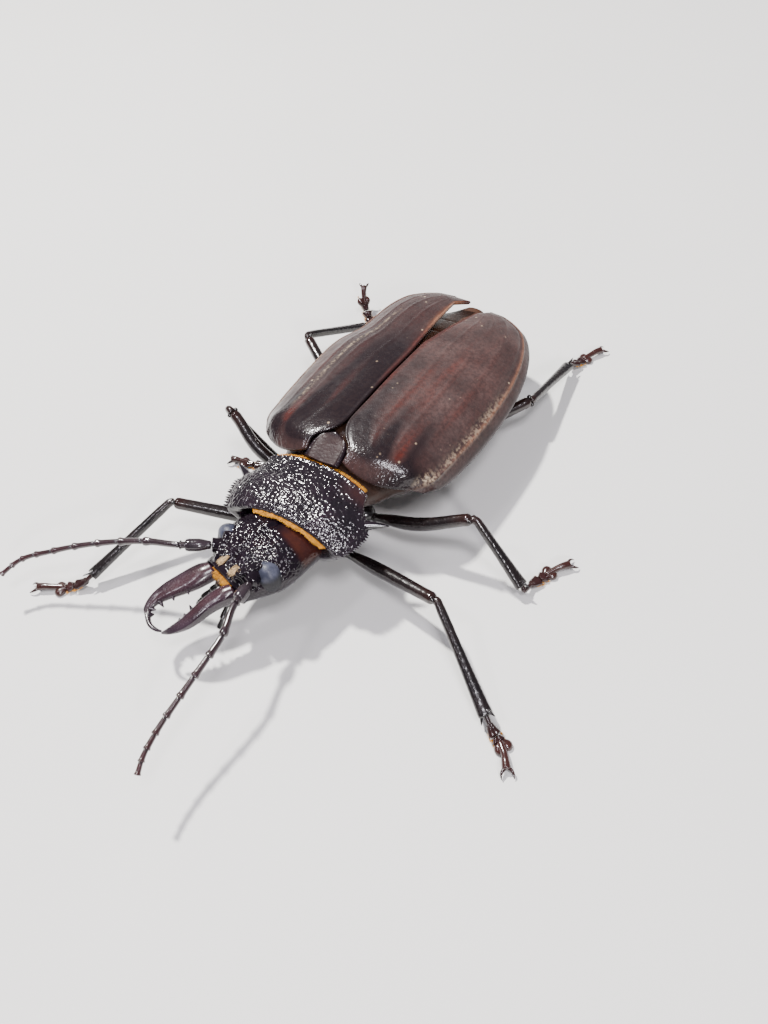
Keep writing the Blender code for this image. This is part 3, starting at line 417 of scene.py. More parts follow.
def ring_normals(rings):
    """Outward unit normals of a tube's rings: the cross product of its central differences."""
    along = np.gradient(rings, axis=0)
    around = np.roll(rings, -1, axis=1) - np.roll(rings, 1, axis=1)
    normal = unit(np.cross(along, around) + 1e-12)
    outward = rings - rings.mean(1, keepdims=True)
    return normal * np.sign(np.sum(normal * outward, axis=-1).mean())


def tube(rings, marks=None):
    """A closed shell through rings of equally many points, with a pole at each end."""
    rings = np.asarray(rings, float)
    count, sides, _ = rings.shape
    points = np.vstack([rings.reshape(-1, 3), rings[0].mean(0), rings[-1].mean(0)])
    low = (np.arange(count - 1)[:, None] * sides + np.arange(sides)).ravel()
    low_next = (np.arange(count - 1)[:, None] * sides + (np.arange(sides) + 1) % sides).ravel()
    quads = np.column_stack([low, low_next, low_next + sides, low + sides])
    side = np.arange(sides)
    after = (side + 1) % sides
    first, last = count * sides, count * sides + 1
    tris = np.vstack([
        np.column_stack([np.full(sides, first), after, side]),
        np.column_stack([np.full(sides, last), first - sides + side, first - sides + after]),
    ])
    carried = {}
    for name, values in (marks or {}).items():
        values = np.broadcast_to(values, (count, sides))
        carried[name] = np.concatenate([values.ravel(), [values[0].mean(), values[-1].mean()]])
    return Shell(points, quads, tris, carried).outward()


def tube_rings(line, half_widths, half_heights, sides, first=None, last=None, power=1.0):
    """Rings square to a line of points: superellipses with level widths and upright heights.

    The first and last rings are square to the given directions, where these are given. Where
    the line turns past the vertical the rings keep their sense, so the tube isn't twisted.
    """
    line = np.asarray(line, float)
    along = np.gradient(line, axis=0)
    if first is not None:
        along[0] = first
    if last is not None:
        along[-1] = last
    along = unit(along)
    level = unit(np.cross(along, (0.0, 0.0, 1.0)))
    same_way = np.where(np.sum(level[1:] * level[:-1], axis=1) < 0, -1.0, 1.0)
    level[1:] *= np.cumprod(same_way)[:, None]
    upright = np.cross(level, along)
    angle = np.arange(sides) * 2 * math.pi / sides
    cosine, sine = np.cos(angle), np.sin(angle)
    across = np.sign(cosine) * np.abs(cosine) ** power
    lift = np.sign(sine) * np.abs(sine) ** power
    half_widths, half_heights = (np.broadcast_to(np.asarray(half, float), len(line))[:, None, None]
                                 for half in (half_widths, half_heights))
    wide, tall = half_widths * across[None, :, None], half_heights * lift[None, :, None]
    return line[:, None] + level[:, None] * wide + upright[:, None] * tall


def rounded_ends(shares, start=0.06, end=0.06):
    """Factor that rounds a tube's two ends: a quarter circle over the given shares of it."""
    low = np.clip(shares / start, 0.0, 1.0) if start else np.ones_like(shares)
    high = np.clip((1 - shares) / end, 0.0, 1.0) if end else np.ones_like(shares)
    return np.sqrt(1 - (1 - low) ** 2) * np.sqrt(1 - (1 - high) ** 2) * 0.97 + 0.03


def spike(root, tip, radius, bend=(0.0, 0.0, 0.0), sides=12, rings=12, blunt=0.05):
    """A spine, claw or tooth: its radius falls as a power of the way, its line is bent once."""
    share = np.linspace(0.0, 1.0, rings)[:, None]
    root, tip, bend = (np.asarray(point, float) for point in (root, tip, bend))
    line = root * (1 - share) + tip * share + 4 * bend * share * (1 - share)
    radii = radius * ((1 - share[:, 0]) ** 0.8 * (1 - blunt) + blunt)
    return tube(tube_rings(line, radii, radii, sides))


def ellipsoid(centre, radii, sides=48, rings=32):
    """Rings of an ellipsoid from below upwards, closed by a pole at each end."""
    lift = np.linspace(-math.pi / 2, math.pi / 2, rings + 2)[1:-1]
    angle = np.arange(sides) * 2 * math.pi / sides
    points = np.stack([
        np.cos(lift)[:, None] * np.cos(angle), np.cos(lift)[:, None] * np.sin(angle),
        np.repeat(np.sin(lift)[:, None], sides, axis=1),
    ], axis=-1)
    return points * np.asarray(radii, float) + np.asarray(centre, float)


def body_rings(stations, count, sides, powers):
    """Sections across y: a dome above the side edge and a keel below it, from smooth stations."""
    stations = np.array(sorted(stations), float)
    at = np.linspace(stations[0, 0], stations[-1, 0], count)
    rows = spline(stations[:, 0], stations[:, 1:], at)
    angle = np.arange(sides) * 2 * math.pi / sides
    across, lift = np.cos(angle), np.sin(angle)
    half, top, side, bottom = (rows[:, [column]] for column in range(4))
    upper = side + (top - side) * np.abs(lift) ** powers[0]
    lower = side - (side - bottom) * np.abs(lift) ** powers[1]
    height = np.where(lift >= 0, upper, lower)
    return np.stack([half * across, np.repeat(at[:, None], sides, axis=1), height], axis=-1)


def arc_from_top(rings):
    """Distance along each ring from its topmost middle, so that grains keep their shape."""
    steps = np.linalg.norm(np.diff(rings, axis=1, prepend=rings[:, -1:]), axis=-1)
    steps[:, 0] = 0.0
    arc = np.cumsum(steps, axis=1)
    return arc - arc[:, [rings.shape[1] // 4]]


def turned(points):
    """Points of the head's own frame, turned with the head about the neck."""
    cosine, sine = math.cos(HEAD_TURN), math.sin(HEAD_TURN)
    turn = np.array([[cosine, -sine, 0.0], [sine, cosine, 0.0], [0.0, 0.0, 1.0]])
    return (np.asarray(points, float) - HEAD_PIVOT) @ turn.T + HEAD_PIVOT


def head_ahead():
    """The direction in which the turned head points."""
    return turned((0.0, -1.0, 0.0)) - turned((0.0, 0.0, 0.0))


def mirrored(points, side):
    """Points written for the left side, carried over to the right one where that is asked."""
    return np.asarray(points, float) * (1.0 if side == "left" else -1.0, 1.0, 1.0)


def make_piece(name, shells, material, nodes=()):
    """One object from closed shells: joins them, moves them to the row's frame and rides."""
    shells = list(shells)
    starts = np.cumsum([0] + [len(shell.points) for shell in shells])
    points = (np.vstack([shell.points for shell in shells]) - CENTRE_OF_BOX) * MM
    quads = np.vstack([shell.quads + start for shell, start in zip(shells, starts)])
    tris = np.vstack([shell.tris + start for shell, start in zip(shells, starts)])
    corners = np.concatenate([quads.ravel(), tris.ravel()])
    sizes = np.concatenate([np.full(len(quads), 4), np.full(len(tris), 3)])
    mesh = bpy.data.meshes.new(name)
    mesh.vertices.add(len(points))
    mesh.vertices.foreach_set("co", points.ravel())
    mesh.loops.add(len(corners))
    mesh.loops.foreach_set("vertex_index", corners)
    mesh.polygons.add(len(sizes))
    mesh.polygons.foreach_set("loop_start", np.concatenate([[0], np.cumsum(sizes)[:-1]]))
    mesh.polygons.foreach_set("use_smooth", np.ones(len(sizes), bool))
    mesh.update(calc_edges=True)
    for mark in sorted({mark for shell in shells for mark in shell.marks}):
        values = [shell.marks.get(mark, np.zeros(len(shell.points))) for shell in shells]
        layer = mesh.attributes.new(mark, "FLOAT", "POINT")
        layer.data.foreach_set("value", np.concatenate(values).astype(np.float32))
    if shells[0].patch is not None:
        patch = np.vstack([shell.patch for shell in shells])
        layer = mesh.uv_layers.new(name="OFBake")
        layer.uv.foreach_set("vector", patch[corners].astype(np.float32).ravel())
    mesh.validate()
    mesh.materials.append(material)
    piece = bpy.data.objects.new(name, mesh)
    bpy.context.scene.collection.objects.link(piece)
    if nodes:
        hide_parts(*nodes)
    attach(piece, "root")


def add_node(tree, kind, inputs=None, **settings):
    """One shader node, with its settings, and its inputs linked or set."""
    made = tree.nodes.new("ShaderNode" + kind)
    for key, value in settings.items():
        setattr(made, key, value)
    for key, value in (inputs or {}).items():
        if isinstance(value, bpy.types.NodeSocket):
            tree.links.new(value, made.inputs[key])
        else:
            made.inputs[key].default_value = value
    return made


def blend(tree, factor, first, second):
    """Mixes two colours; a colour is a socket or three numbers."""
    made = tree.nodes.new("ShaderNodeMix")
    made.data_type = "RGBA"
    for index, value in ((0, factor), (6, first), (7, second)):
        if isinstance(value, bpy.types.NodeSocket):
            tree.links.new(value, made.inputs[index])
        else:
            made.inputs[index].default_value = value if index == 0 else (*value, 1.0)
    return made.outputs[2]


def added(tree, first, second):
    """The sum of two values, kept between 0 and 1."""
    made = add_node(tree, "Math", {0: first, 1: second}, operation="ADD", use_clamp=True)
    return made.outputs[0]


def times(tree, first, second):
    """The product of two values."""
    made = add_node(tree, "Math", {0: first, 1: second}, operation="MULTIPLY")
    return made.outputs[0]


def spread(tree, value, low, high, new_low=0.0, new_high=1.0):
    """Carries a range of values over to another range, and clamps it."""
    made = add_node(tree, "MapRange", {
        "Value": value, "From Min": low, "From Max": high, "To Min": new_low, "To Max": new_high,
    })
    return made.outputs["Result"]


def noise(tree, place, scale, detail=4.0, roughness=0.55):
    """Soft clouds from 0 to 1, so many to the metre."""
    made = add_node(tree, "TexNoise", {
        "Vector": place, "Scale": scale, "Detail": detail, "Roughness": roughness,
    })
    return made.outputs["Fac"]


def cells(tree, place, scale):
    """Distance to the nearest of many scattered points, in shares of a cell."""
    return add_node(tree, "TexVoronoi", {"Vector": place, "Scale": scale}).outputs["Distance"]


def bump(tree, height, distance, strength, normal=None):
    """A surface tilted by the slope of a height, on top of another tilt where one is given."""
    inputs = {"Height": height, "Distance": distance, "Strength": strength}
    if normal is not None:
        inputs["Normal"] = normal
    return add_node(tree, "Bump", inputs).outputs["Normal"]


def mark_of(tree, name):
    """The value of one of the mesh's marks."""
    return add_node(tree, "Attribute", attribute_name=name).outputs["Fac"]


def start_finish(name):
    """A new material, its node tree and the place on the object in metres."""
    material = bpy.data.materials.new(name)
    material.use_nodes = True
    tree = material.node_tree
    return material, tree, add_node(tree, "TexCoord").outputs["Object"]


def end_finish(material, colour, rough, surface, gloss, coat=0.0, coat_roughness=0.03):
    """Joins colour, roughness and surface to the shader, and sets its gloss and clear coat."""
    tree = material.node_tree
    inputs = tree.nodes["Principled BSDF"].inputs
    tree.links.new(colour, inputs["Base Color"])
    tree.links.new(rough, inputs["Roughness"])
    tree.links.new(surface, inputs["Normal"])
    inputs["Specular IOR Level"].default_value = gloss
    inputs["Coat Weight"].default_value = coat
    inputs["Coat Roughness"].default_value = coat_roughness
    return material


def cuticle(name, dark, light, warm, roughness, coat, grain, depth, gloss):
    """Horny shell: two tones in soft clouds, warm and pale marks, pits and fine scratches.

    The marks are attributes of the mesh: warm reddens, pale dusts over, and shine smooths.
    """
    material, tree, place = start_finish(name)
    clouds = spread(tree, noise(tree, place, 260.0, 5.0), 0.35, 0.68)
    specks = noise(tree, place, 2600.0, 3.0)
    colour = blend(tree, clouds, dark, light)
    patches = spread(tree, noise(tree, place, 700.0), 0.2, 0.8, 0.55, 1.2)
    colour = blend(tree, times(tree, mark_of(tree, "warm"), patches), colour, warm)
    dusty = times(tree, mark_of(tree, "pale"), spread(tree, specks, 0.35, 0.6))
    colour = blend(tree, dusty, colour, CUTICLE_DUST)
    rough = spread(tree, specks, 0.3, 0.7, roughness * 0.8, roughness * 1.25)
    rough = times(tree, rough, spread(tree, mark_of(tree, "shine"), 0.0, 1.0, 1.0, 0.4))
    rough = added(tree, rough, spread(tree, dusty, 0.0, 1.0, 0.0, 0.35))
    pits = spread(tree, cells(tree, place, grain), 0.0, 0.45)
    surface = bump(tree, pits, depth, 0.9)
    surface = bump(tree, noise(tree, place, grain * 3.1, 2.0), depth * 0.35, 0.8, surface)
    return end_finish(material, colour, rough, surface, gloss, coat, 0.12)


def wing_case_finish():
    """Satin chestnut-grey shell: fine granulation, reddish streaks along it and pale specks.

    The marks warm, rim, dark and pale blend their own tones over two chestnut tones in soft
    clouds, each where its mark is high, and shine smooths. Streaks are clouds drawn out along y.
    """
    material, tree, place = start_finish("satin_wing_case")
    mapping = add_node(tree, "Mapping", {"Vector": place, "Scale": (1.0, 0.16, 0.6)})
    drawn_out = mapping.outputs["Vector"]
    clouds = spread(tree, noise(tree, place, 170.0, 6.0), 0.36, 0.66)
    colour = blend(tree, clouds, WING_CASE_TONES["deep"], WING_CASE_TONES["chestnut"])
    streaks = spread(tree, noise(tree, drawn_out, 520.0, 5.0), 0.42, 0.66)
    warm = times(tree, mark_of(tree, "warm"), spread(tree, streaks, 0.0, 1.0, 0.35, 1.15))
    reddish = added(tree, warm, times(tree, streaks, 0.14))
    colour = blend(tree, reddish, colour, WING_CASE_TONES["red"])
    colour = blend(tree, mark_of(tree, "rim"), colour, WING_CASE_TONES["rim"])
    # the mark dark blends in the black tone; on the right wing case it is partly painted shade
    colour = blend(tree, mark_of(tree, "dark"), colour, WING_CASE_TONES["black"])
    grains = spread(tree, noise(tree, place, 1700.0, 3.0), 0.42, 0.60, 0.0, 0.45)
    colour = blend(tree, grains, colour, WING_CASE_TONES["grain"])
    patches = spread(tree, noise(tree, place, 330.0, 3.0), 0.53, 0.64)
    flecks = times(tree, spread(tree, cells(tree, place, 520.0), 0.16, 0.06), patches)
    powder = spread(tree, noise(tree, place, 1500.0, 3.0), 0.45, 0.6)
    dust = added(tree, flecks, times(tree, mark_of(tree, "pale"), powder))
    colour = blend(tree, dust, colour, WING_CASE_TONES["dust"])
    rough = spread(tree, noise(tree, place, 900.0, 4.0), 0.3, 0.7, 0.42, 0.62)
    rough = times(tree, rough, spread(tree, mark_of(tree, "shine"), 0.0, 1.0, 1.0, 0.36))
    surface = bump(tree, spread(tree, cells(tree, place, 3400.0), 0.0, 0.5), 0.00002, 0.8)
    surface = bump(tree, noise(tree, drawn_out, 900.0, 4.0), 0.00006, 0.5, surface)
    return end_finish(material, colour, rough, surface, 0.4, 0.1, 0.3)


def eye_finish():
    """Grey-blue eye of many tiny facets in soft clouds, near black where the mark dark is high."""
    material, tree, place = start_finish("faceted_eye")
    clouds = spread(tree, noise(tree, place, 420.0, 4.0), 0.35, 0.65)
    colour = blend(tree, clouds, (0.028, 0.031, 0.048), (0.074, 0.079, 0.115))
    # painted shade: near black where the mark dark is high, on the eye's lower, outer part
    colour = blend(tree, mark_of(tree, "dark"), colour, (0.008, 0.008, 0.011))
    rough = spread(tree, clouds, 0.0, 1.0, 0.36, 0.55)
    facets = spread(tree, cells(tree, place, 5200.0), 0.0, 0.5, 1.0, 0.0)
    return end_finish(material, colour, rough, bump(tree, facets, 0.00003, 0.7), 0.3, 0.05, 0.25)


def hair_finish(name, root, tip):
    """Stiff golden hair: its colour runs from root to tip, and soft clouds shade whole tufts."""
    material, tree, place = start_finish(name)
    colour = blend(tree, mark_of(tree, "reach"), root, tip)
    shade = spread(tree, noise(tree, place, 1400.0, 2.0), 0.35, 0.75, 0.0, 0.6)
    colour = blend(tree, shade, colour, tuple(0.55 * channel for channel in root))
    rough = spread(tree, noise(tree, place, 3000.0), 0.3, 0.7, 0.42, 0.62)
    surface = bump(tree, noise(tree, place, 6000.0, 2.0), 0.00002, 0.5)
    return end_finish(material, colour, rough, surface, 0.2)


def front_bow(y):
    """How far the pronotum's front edge bows forward at its sides, by the place along it."""
    return np.interp(y, *np.transpose(FRONT_BOWS))


def make_pronotum(finishes):
    """The pronotum: a loft whose surface rises in coarse glossy granules, and its toothed edge.

    Its height over the loft is the granules, less on the underside and at the worn hind corners,
    minus bell curves for the middle line and four dents, plus a rounded rim at both ends.
    """
    rings = body_rings(PRONOTUM_STATIONS, *PRONOTUM_GRID, (1.5, 1.5))
    along = rings[:, :, 1].copy()
    progress = np.linspace(0.0, 1.0, len(rings))[:, None]
    across = rings[:, :, 0] / rings[:, :, 0].max(1, keepdims=True)
    rings[:, :, 1] += (HIND_BOW * smooth_step(0.45, 1.0, progress) + front_bow(along)) * across**2
    arc = arc_from_top(rings)
    normal = ring_normals(rings)
    x = rings[:, :, 0]
    upper = smooth_step(12.5, 14.3, rings[:, :, 2])
    worn = hump(x, 8.6, 2.6) * hump(along, -2.6, 1.6)
    rough = rugose(arc, along, BIG_GRAIN, 11) * (0.21 + 0.03 * np.sin(along * 2.1 + arc))
    height = rough * (0.3 + 0.7 * upper) * (1 - 0.7 * worn)
    height -= 0.14 * hump(x, 0.0, 0.55) * smooth_step(-12.5, -10.0, along) * upper
    for side in (-1.0, 1.0):
        height -= 0.45 * hump(x, side * 6.2, 1.5) * hump(along, -5.0, 1.5) * upper
        height -= 0.30 * hump(x, side * 4.0, 1.6) * hump(along, -10.6, 1.2) * upper
    height += 0.14 * hump(along, -1.35, 0.28) + 0.12 * hump(along, -12.9, 0.22)
    rings = rings + normal * (height - 0.06)[..., None]
    front = rings[:1]
    centre = front.mean(1, keepdims=True)
    collar = [centre + (front - centre) * share + (0.0, step, 0.0) for share, step in NECK_OPENING]
    marks = np.concatenate([np.zeros((len(collar), rings.shape[1])), 0.3 * worn * upper])
    shells = [tube(np.concatenate(collar + [rings]), {"warm": marks})] + edge_teeth()
    make_piece("granular_pronotum", shells, finishes["black"], ("pronotum",))


def edge_teeth():
    """The spine and the row of small teeth on both side edges, sizes varied from named ones."""
    stations = np.array(PRONOTUM_STATIONS)
    edges = stations[:, 0] + front_bow(stations[:, 0])
    draw = np.random.default_rng(5)
    shells = []
    for side in ("left", "right"):
        root, tip = mirrored(LATERAL_SPINE, side)
        shells.append(spike(root, tip, SPINE_RADIUS, mirrored(SPINE_BEND, side), 20, 20))
        for y in np.linspace(TEETH_FROM, TEETH_TO, EDGE_TEETH):
            width, _, height, _ = spline(edges, stations[:, 1:], y)[0]
            size = draw.uniform(0.8, 1.2)
            root = (width - 0.9, y + 0.1, height + draw.uniform(-0.1, 0.1))
            reach = (TOOTH_LENGTH - 0.1) * size
            tip = (width + reach, y - 0.15 + draw.uniform(-0.12, 0.12), height + 0.05)
            root, tip = mirrored([root, tip], side)
            shells.append(spike(root, tip, TOOTH_RADIUS * size, rings=10, blunt=0.12))
    return shells


def segment_distance(x, y, start, end):
    """Distance in plan from points to a straight piece of a ridge."""
    start, end = np.asarray(start, float), np.asarray(end, float)
    reach = end - start
    share = np.clip(((x - start[0]) * reach[0] + (y - start[1]) * reach[1]) / (reach @ reach), 0, 1)
    return np.hypot(x - start[0] - share * reach[0], y - start[1] - share * reach[1])


def make_head(finishes):
    """The head: a loft with brow ridges, a middle groove, a flat clypeus and coarse granules.

    Granules fade on the underside, the clypeus and the collar; grooves and ridges are bell
    curves of the distance from their lines. The sockets of the feelers are tubes.
    """
    rings = body_rings(HEAD_STATIONS, *HEAD_GRID, (1.0, 1.0))
    x, y, z = (rings[:, :, axis].copy() for axis in range(3))
    arc = arc_from_top(rings)
    normal = ring_normals(rings)
    upper = smooth_step(11.0, 12.4, z)
    clypeus = smooth_step(-24.0, -24.5, y)
    collar = smooth_step(-15.4, -14.2, y)
    height = rugose(arc + 40, y, BIG_GRAIN, 21) * 0.24 * (0.35 + 0.65 * upper)
    height *= (1 - 0.8 * clypeus) * (1 - 0.85 * collar)
    height -= 0.5 * hump(x, 0.0, 0.45) * smooth_step(-24.3, -22.5, y) * upper
    height -= 0.55 * hump(x, 0.0, 1.7) * hump(y, -22.9, 1.1) * upper
    height -= 0.3 * hump(y, -24.2, 0.28) * upper
    for side in (-1.0, 1.0):
        for start, end, width, rise in BROW_RIDGES:
            ridge = segment_distance(x, y, (side * start[0], start[1]), (side * end[0], end[1]))
            height += rise * hump(ridge, 0.0, width) * upper
    height += 0.12 * hump(y, -25.3, 0.2)
    rings = rings + normal * height[..., None]
    marks = {
        "warm": 0.55 * collar * upper * smooth_step(0.5, 3.5, x),
        "shine": collar * 0.6 + clypeus * 0.4,
    }
    shells = [tube(turned(rings), marks)]
    share = np.linspace(0.0, 1.0, 16)
    radii = SOCKET_RADIUS * (1.0 + 0.06 * hump(share, 0.92, 0.06)) * rounded_ends(share, 0, 0.05)
    for side in ("left", "right"):
        control, _ = antenna_line(side)
        ahead = unit(control[1] - control[0])
        line = control[0] + ahead * SOCKET_LENGTH * (share - 1)[:, None]
        shells.append(tube(tube_rings(line, radii, radii, 28)))
    make_piece("granular_head", shells, finishes["head"], ("head",))


def make_eyes(finishes):
    """Kidney-shaped eyes: balls with a bell-shaped notch in front, by the foot of the feeler.

    Each is drawn out to the eye's radii and set a little into the head, and its lower, outer
    part is darkened: painted shade.
    """
    for side in ("left", "right"):
        rings = ellipsoid((0.0, 0.0, 0.0), (1.0, 1.0, 1.0), 72, 46)
        x, y, z = (rings[..., axis] for axis in range(3))
        notch = 0.16 * hump(y, -1.0, 0.5) * hump(z, 0.45, 0.4)
        # painted shade: the mark dark on the lower, outer part of each eye
        shade = smooth_step(0.42, -0.05, z - 0.35 * x)
        rings = rings * (1.0 - notch)[..., None] * EYE_RADII * EYE_SIZE + EYE_CENTRE + EYE_SET
        shell = tube(turned(mirrored(rings, side)), {"dark": shade})
        make_piece("faceted_eye_" + side, [shell], finishes["eye"], ("eye_" + side,))


def mandible_path(side, count):
    """Centre line, half widths and half heights of a jaw, smooth through its points.

    It is in the head's frame, and both jaws are written as left ones.
    """
    line = np.array(MANDIBLE_LINES[side], float)
    fine = spline(np.arange(len(line)), line, np.linspace(0, len(line) - 1, count))
    return fine[:, :3] + MANDIBLE_ROOT, fine[:, 3], fine[:, 4]


def jaw_shell(side):
    """A jaw's body: a flat tube with a keel, a hollow and fine granules on it.

    The keel is a bell curve near the outer side of the upper face, the hollow a wide one at
    its middle. All fade towards the root and the tip in S curves.
    """
    count, sides = JAW_GRID
    centre, wide, tall = mandible_path(side, count)
    rings = tube_rings(turned(mirrored(centre, side)), wide, tall, sides, first=head_ahead())
    middle = rings.mean(1, keepdims=True)
    outward = turned(mirrored((1.0, 0.0, 0.0), side)) - turned((0.0, 0.0, 0.0))
    reach = np.sum((rings - middle) * outward, axis=-1) / wide[:, None]
    share = np.linspace(0.0, 1.0, count)[:, None]
    upper = rings[..., 2] > middle[..., 2]
    keel = np.exp(-((reach - 0.72) ** 2) / 0.02) * upper
    path = np.cumsum(np.linalg.norm(np.gradient(centre, axis=0), axis=1))[:, None]
    height = 0.16 * keel * smooth_step(0.02, 0.12, share) * smooth_step(0.95, 0.8, share)
    grains = rugose(arc_from_top(rings) + 70, path, 0.50, 31) * 0.035 * (1 - keel)
    grains *= smooth_step(0.8, 0.5, share) * smooth_step(0.05, 0.3, share)
    hollow = 0.22 * hump(reach, -0.15, 0.45) * upper
    hollow *= smooth_step(0.08, 0.25, share) * smooth_step(0.85, 0.6, share)
    rings = rings + ring_normals(rings) * (height + grains - hollow)[..., None]
    warm = 0.65 * hump(reach, -0.2, 0.7) * smooth_step(0.9, 0.3, share)
    return tube(rings, {"warm": warm, "shine": keel})


def jaw_teeth(side):
    """The teeth of a jaw's inner edge: spikes square to its centre line, rooted inside it."""
    count = JAW_GRID[0]
    centre, wide, _ = mandible_path(side, count)
    shells = []
    for place, size in zip(TOOTH_PLACES, TOOTH_SIZES):
        index = round(place * (count - 1))
        heading = unit((centre[index + 2] - centre[index - 2]) * (1.0, 1.0, 0.0))
        inward = np.array([heading[1], -heading[0], 0.0])
        root = centre[index] + inward * wide[index] * 0.4
        tip = centre[index] + inward * (wide[index] + size)
        root, tip = turned(mirrored([root, tip], side))
        shells.append(spike(root, tip, JAW_TOOTH_RADIUS, sides=18, rings=14, blunt=0.1))
    return shells


def make_mandibles(finishes):
    """Broad flat jaws with a glossy outer keel, wavy toothed inner edges and hooked tips."""
    for side in ("left", "right"):
        shells = [jaw_shell(side)] + jaw_teeth(side)
        make_piece("keeled_mandible_" + side, shells, finishes["jaw"], ("mandible_" + side,))


def make_mouthparts(finishes):
    """The small lip plate between the jaws, and two jointed palps beneath it.

    A palp is a tube through four points whose radius swells in an S curve in each joint.
    """
    share = np.linspace(0.0, 1.0, 24)
    line = np.column_stack([np.zeros(24), HEAD_FRONT - GAP - 1.25 * share, 11.6 - 0.3 * share])
    wide, tall = 0.64 * rounded_ends(share, 0.1, 0.5), 0.68 * rounded_ends(share, 0.1, 0.6)
    plate = tube(turned(tube_rings(line, wide, tall, 28)))
    make_piece("lip_plate", [plate], finishes["brown"], ("labrum",))
    at = np.linspace(0, 3, 60)
    line = spline(np.arange(4), np.asarray(PALP_LINE, float), at)
    joint = np.mod(at, 1.0)
    radii = PALP_RADIUS * (0.82 + 0.36 * smooth_step(0.1, 0.8, joint) * smooth_step(1.0, 0.93, joint))
    radii *= rounded_ends(at / 3, 0.04, 0.06)
    for side in ("left", "right"):
        rings = tube_rings(turned(mirrored(line, side)), radii, radii, 20, first=head_ahead())
        make_piece("jointed_palp_" + side, [tube(rings)], finishes["leg"], ("palp_" + side,))


def antenna_line(side):
    """The centre line's points from the socket on, and the distance of each along the line."""
    root = turned(mirrored(ANTENNA_ROOT, side))
    control = np.vstack([root, ANTENNA_LINES[side]])
    knots = np.concatenate([[0.0], np.cumsum(np.linalg.norm(np.diff(control, axis=0), axis=1))])
    return control, knots


def joint_swell(joint, share):
    """Thickness along a feeler's joint: a knob near its end, or for the scape one long swelling."""
    if joint == 0:
        swelling = smooth_step(0.0, 0.5, share) * (1 - 0.3 * smooth_step(0.8, 1.0, share))
        return SCAPE_RADIUS, 0.72 + 0.42 * swelling
    thick = FEELER_RADIUS + (FEELER_TIP_RADIUS - FEELER_RADIUS) * joint / 10
    return thick, 0.80 + 0.14 * share + 0.24 * hump(share, 0.9, 0.1)


def make_antennae(finishes):
    """Feelers of eleven joints: each is narrow at its foot and swells to a glossy knob.

    A joint is a tube on the feeler's smooth line, from a little past the last joint's end, and
    the joints redden one after the other towards the tip.
    """
    share = np.linspace(0.0, 1.0, 34)
    for side in ("left", "right"):
        control, knots = antenna_line(side)
        starts = np.concatenate([[0.0], np.cumsum(JOINT_SHARES)]) * knots[-1] / sum(JOINT_SHARES)
        for part, first, last in ANTENNA_PARTS:
            shells = []
            for joint in range(first, last):
                thick, swell = joint_swell(joint, share)
                radii = thick * swell * rounded_ends(share, 0.05, 0.07)
                low = starts[joint] + (0.1 if joint > first else 0.0) * thick
                high = min(starts[joint + 1] + 0.12, knots[-1] - 0.01)
                line = spline(knots, control, low + share * (high - low))
                warm = smooth_step(0.0, 0.25, share) * (0.05 + 0.09 * joint)
                marks = {"warm": warm[:, None], "shine": hump(share, 0.9, 0.12)[:, None]}
                shells.append(tube(tube_rings(line, radii, radii, 24), marks))
            node = f"antenna_{side}_{part}"
            make_piece(f"feeler_{side}_{part}", shells, finishes["feeler"], (node,))


def make_scutellum(finishes):
    """A tongue-shaped plate, hollowed along its middle, with a bright raised rim.

    Its sections are superellipses on one flat underside; the rim is an S curve of the place
    across and along it, the hollow a bell curve of the place across.
    """
    count, sides = SCUTELLUM_GRID
    stations = np.array(SCUTELLUM_STATIONS)
    at = np.linspace(stations[0, 0], stations[-1, 0], count)
    rows = spline(stations[:, 0], stations[:, 1:], at)
    angle = np.arange(sides) * 2 * math.pi / sides
    across, lift = np.cos(angle), np.sin(angle)
    width, top = rows[:, [0]], rows[:, [1]]
    middle = (top + SCUTELLUM_UNDERSIDE) / 2 + 0.2
    upper = middle + (top - middle) * np.abs(lift) ** 0.6
    lower = middle - (middle - SCUTELLUM_UNDERSIDE) * np.abs(lift) ** 0.5
    rings = np.stack([
        width * across * rounded_ends(np.linspace(0, 1, count), 0, 0.12)[:, None],
        np.repeat(at[:, None], sides, axis=1), np.where(lift >= 0, upper, lower),
    ], axis=-1)
    at = at[:, None]
    edge = np.maximum(smooth_step(0.72, 0.92, np.abs(across)), smooth_step(3.2, 4.2, at))
    face = lift > 0.05
    hollow = 0.30 * hump(across, 0.0, 0.55) * smooth_step(4.2, 2.0, at)
    rings[..., 2] += face * (0.20 * edge - hollow)
    rings[..., 2] += face * 0.03 * rugose(rings[..., 0] + 90, rings[..., 1], 0.5, 41) * (1 - edge)
    shell = tube(rings, {"warm": 0.6 * (1 - edge) * face, "shine": edge * face})
    make_piece("tongue_scutellum", [shell], finishes["plate"], ("scutellum",))


def sheet(top, bottom, marks):
    """A closed shell from two grids of points alike, joined by a strip along their four edges."""
    rows, columns, _ = top.shape
    below = rows * columns
    index = np.arange(below).reshape(rows, columns)
    face = np.stack([index[:-1, :-1], index[:-1, 1:], index[1:, 1:], index[1:, :-1]], -1)
    face = face.reshape(-1, 4)
    border = np.concatenate([index[0, :-1], index[:-1, -1], index[-1, :0:-1], index[:0:-1, 0]])
    after = np.roll(border, -1)
    strip = np.column_stack([after, border, border + below, after + below])
    points = np.vstack([top.reshape(-1, 3), bottom.reshape(-1, 3)])
    carried = {name: np.concatenate([values.ravel()] * 2) for name, values in marks.items()}
    return Shell(points, np.vstack([face, face[:, ::-1] + below, strip]), (), carried).outward()


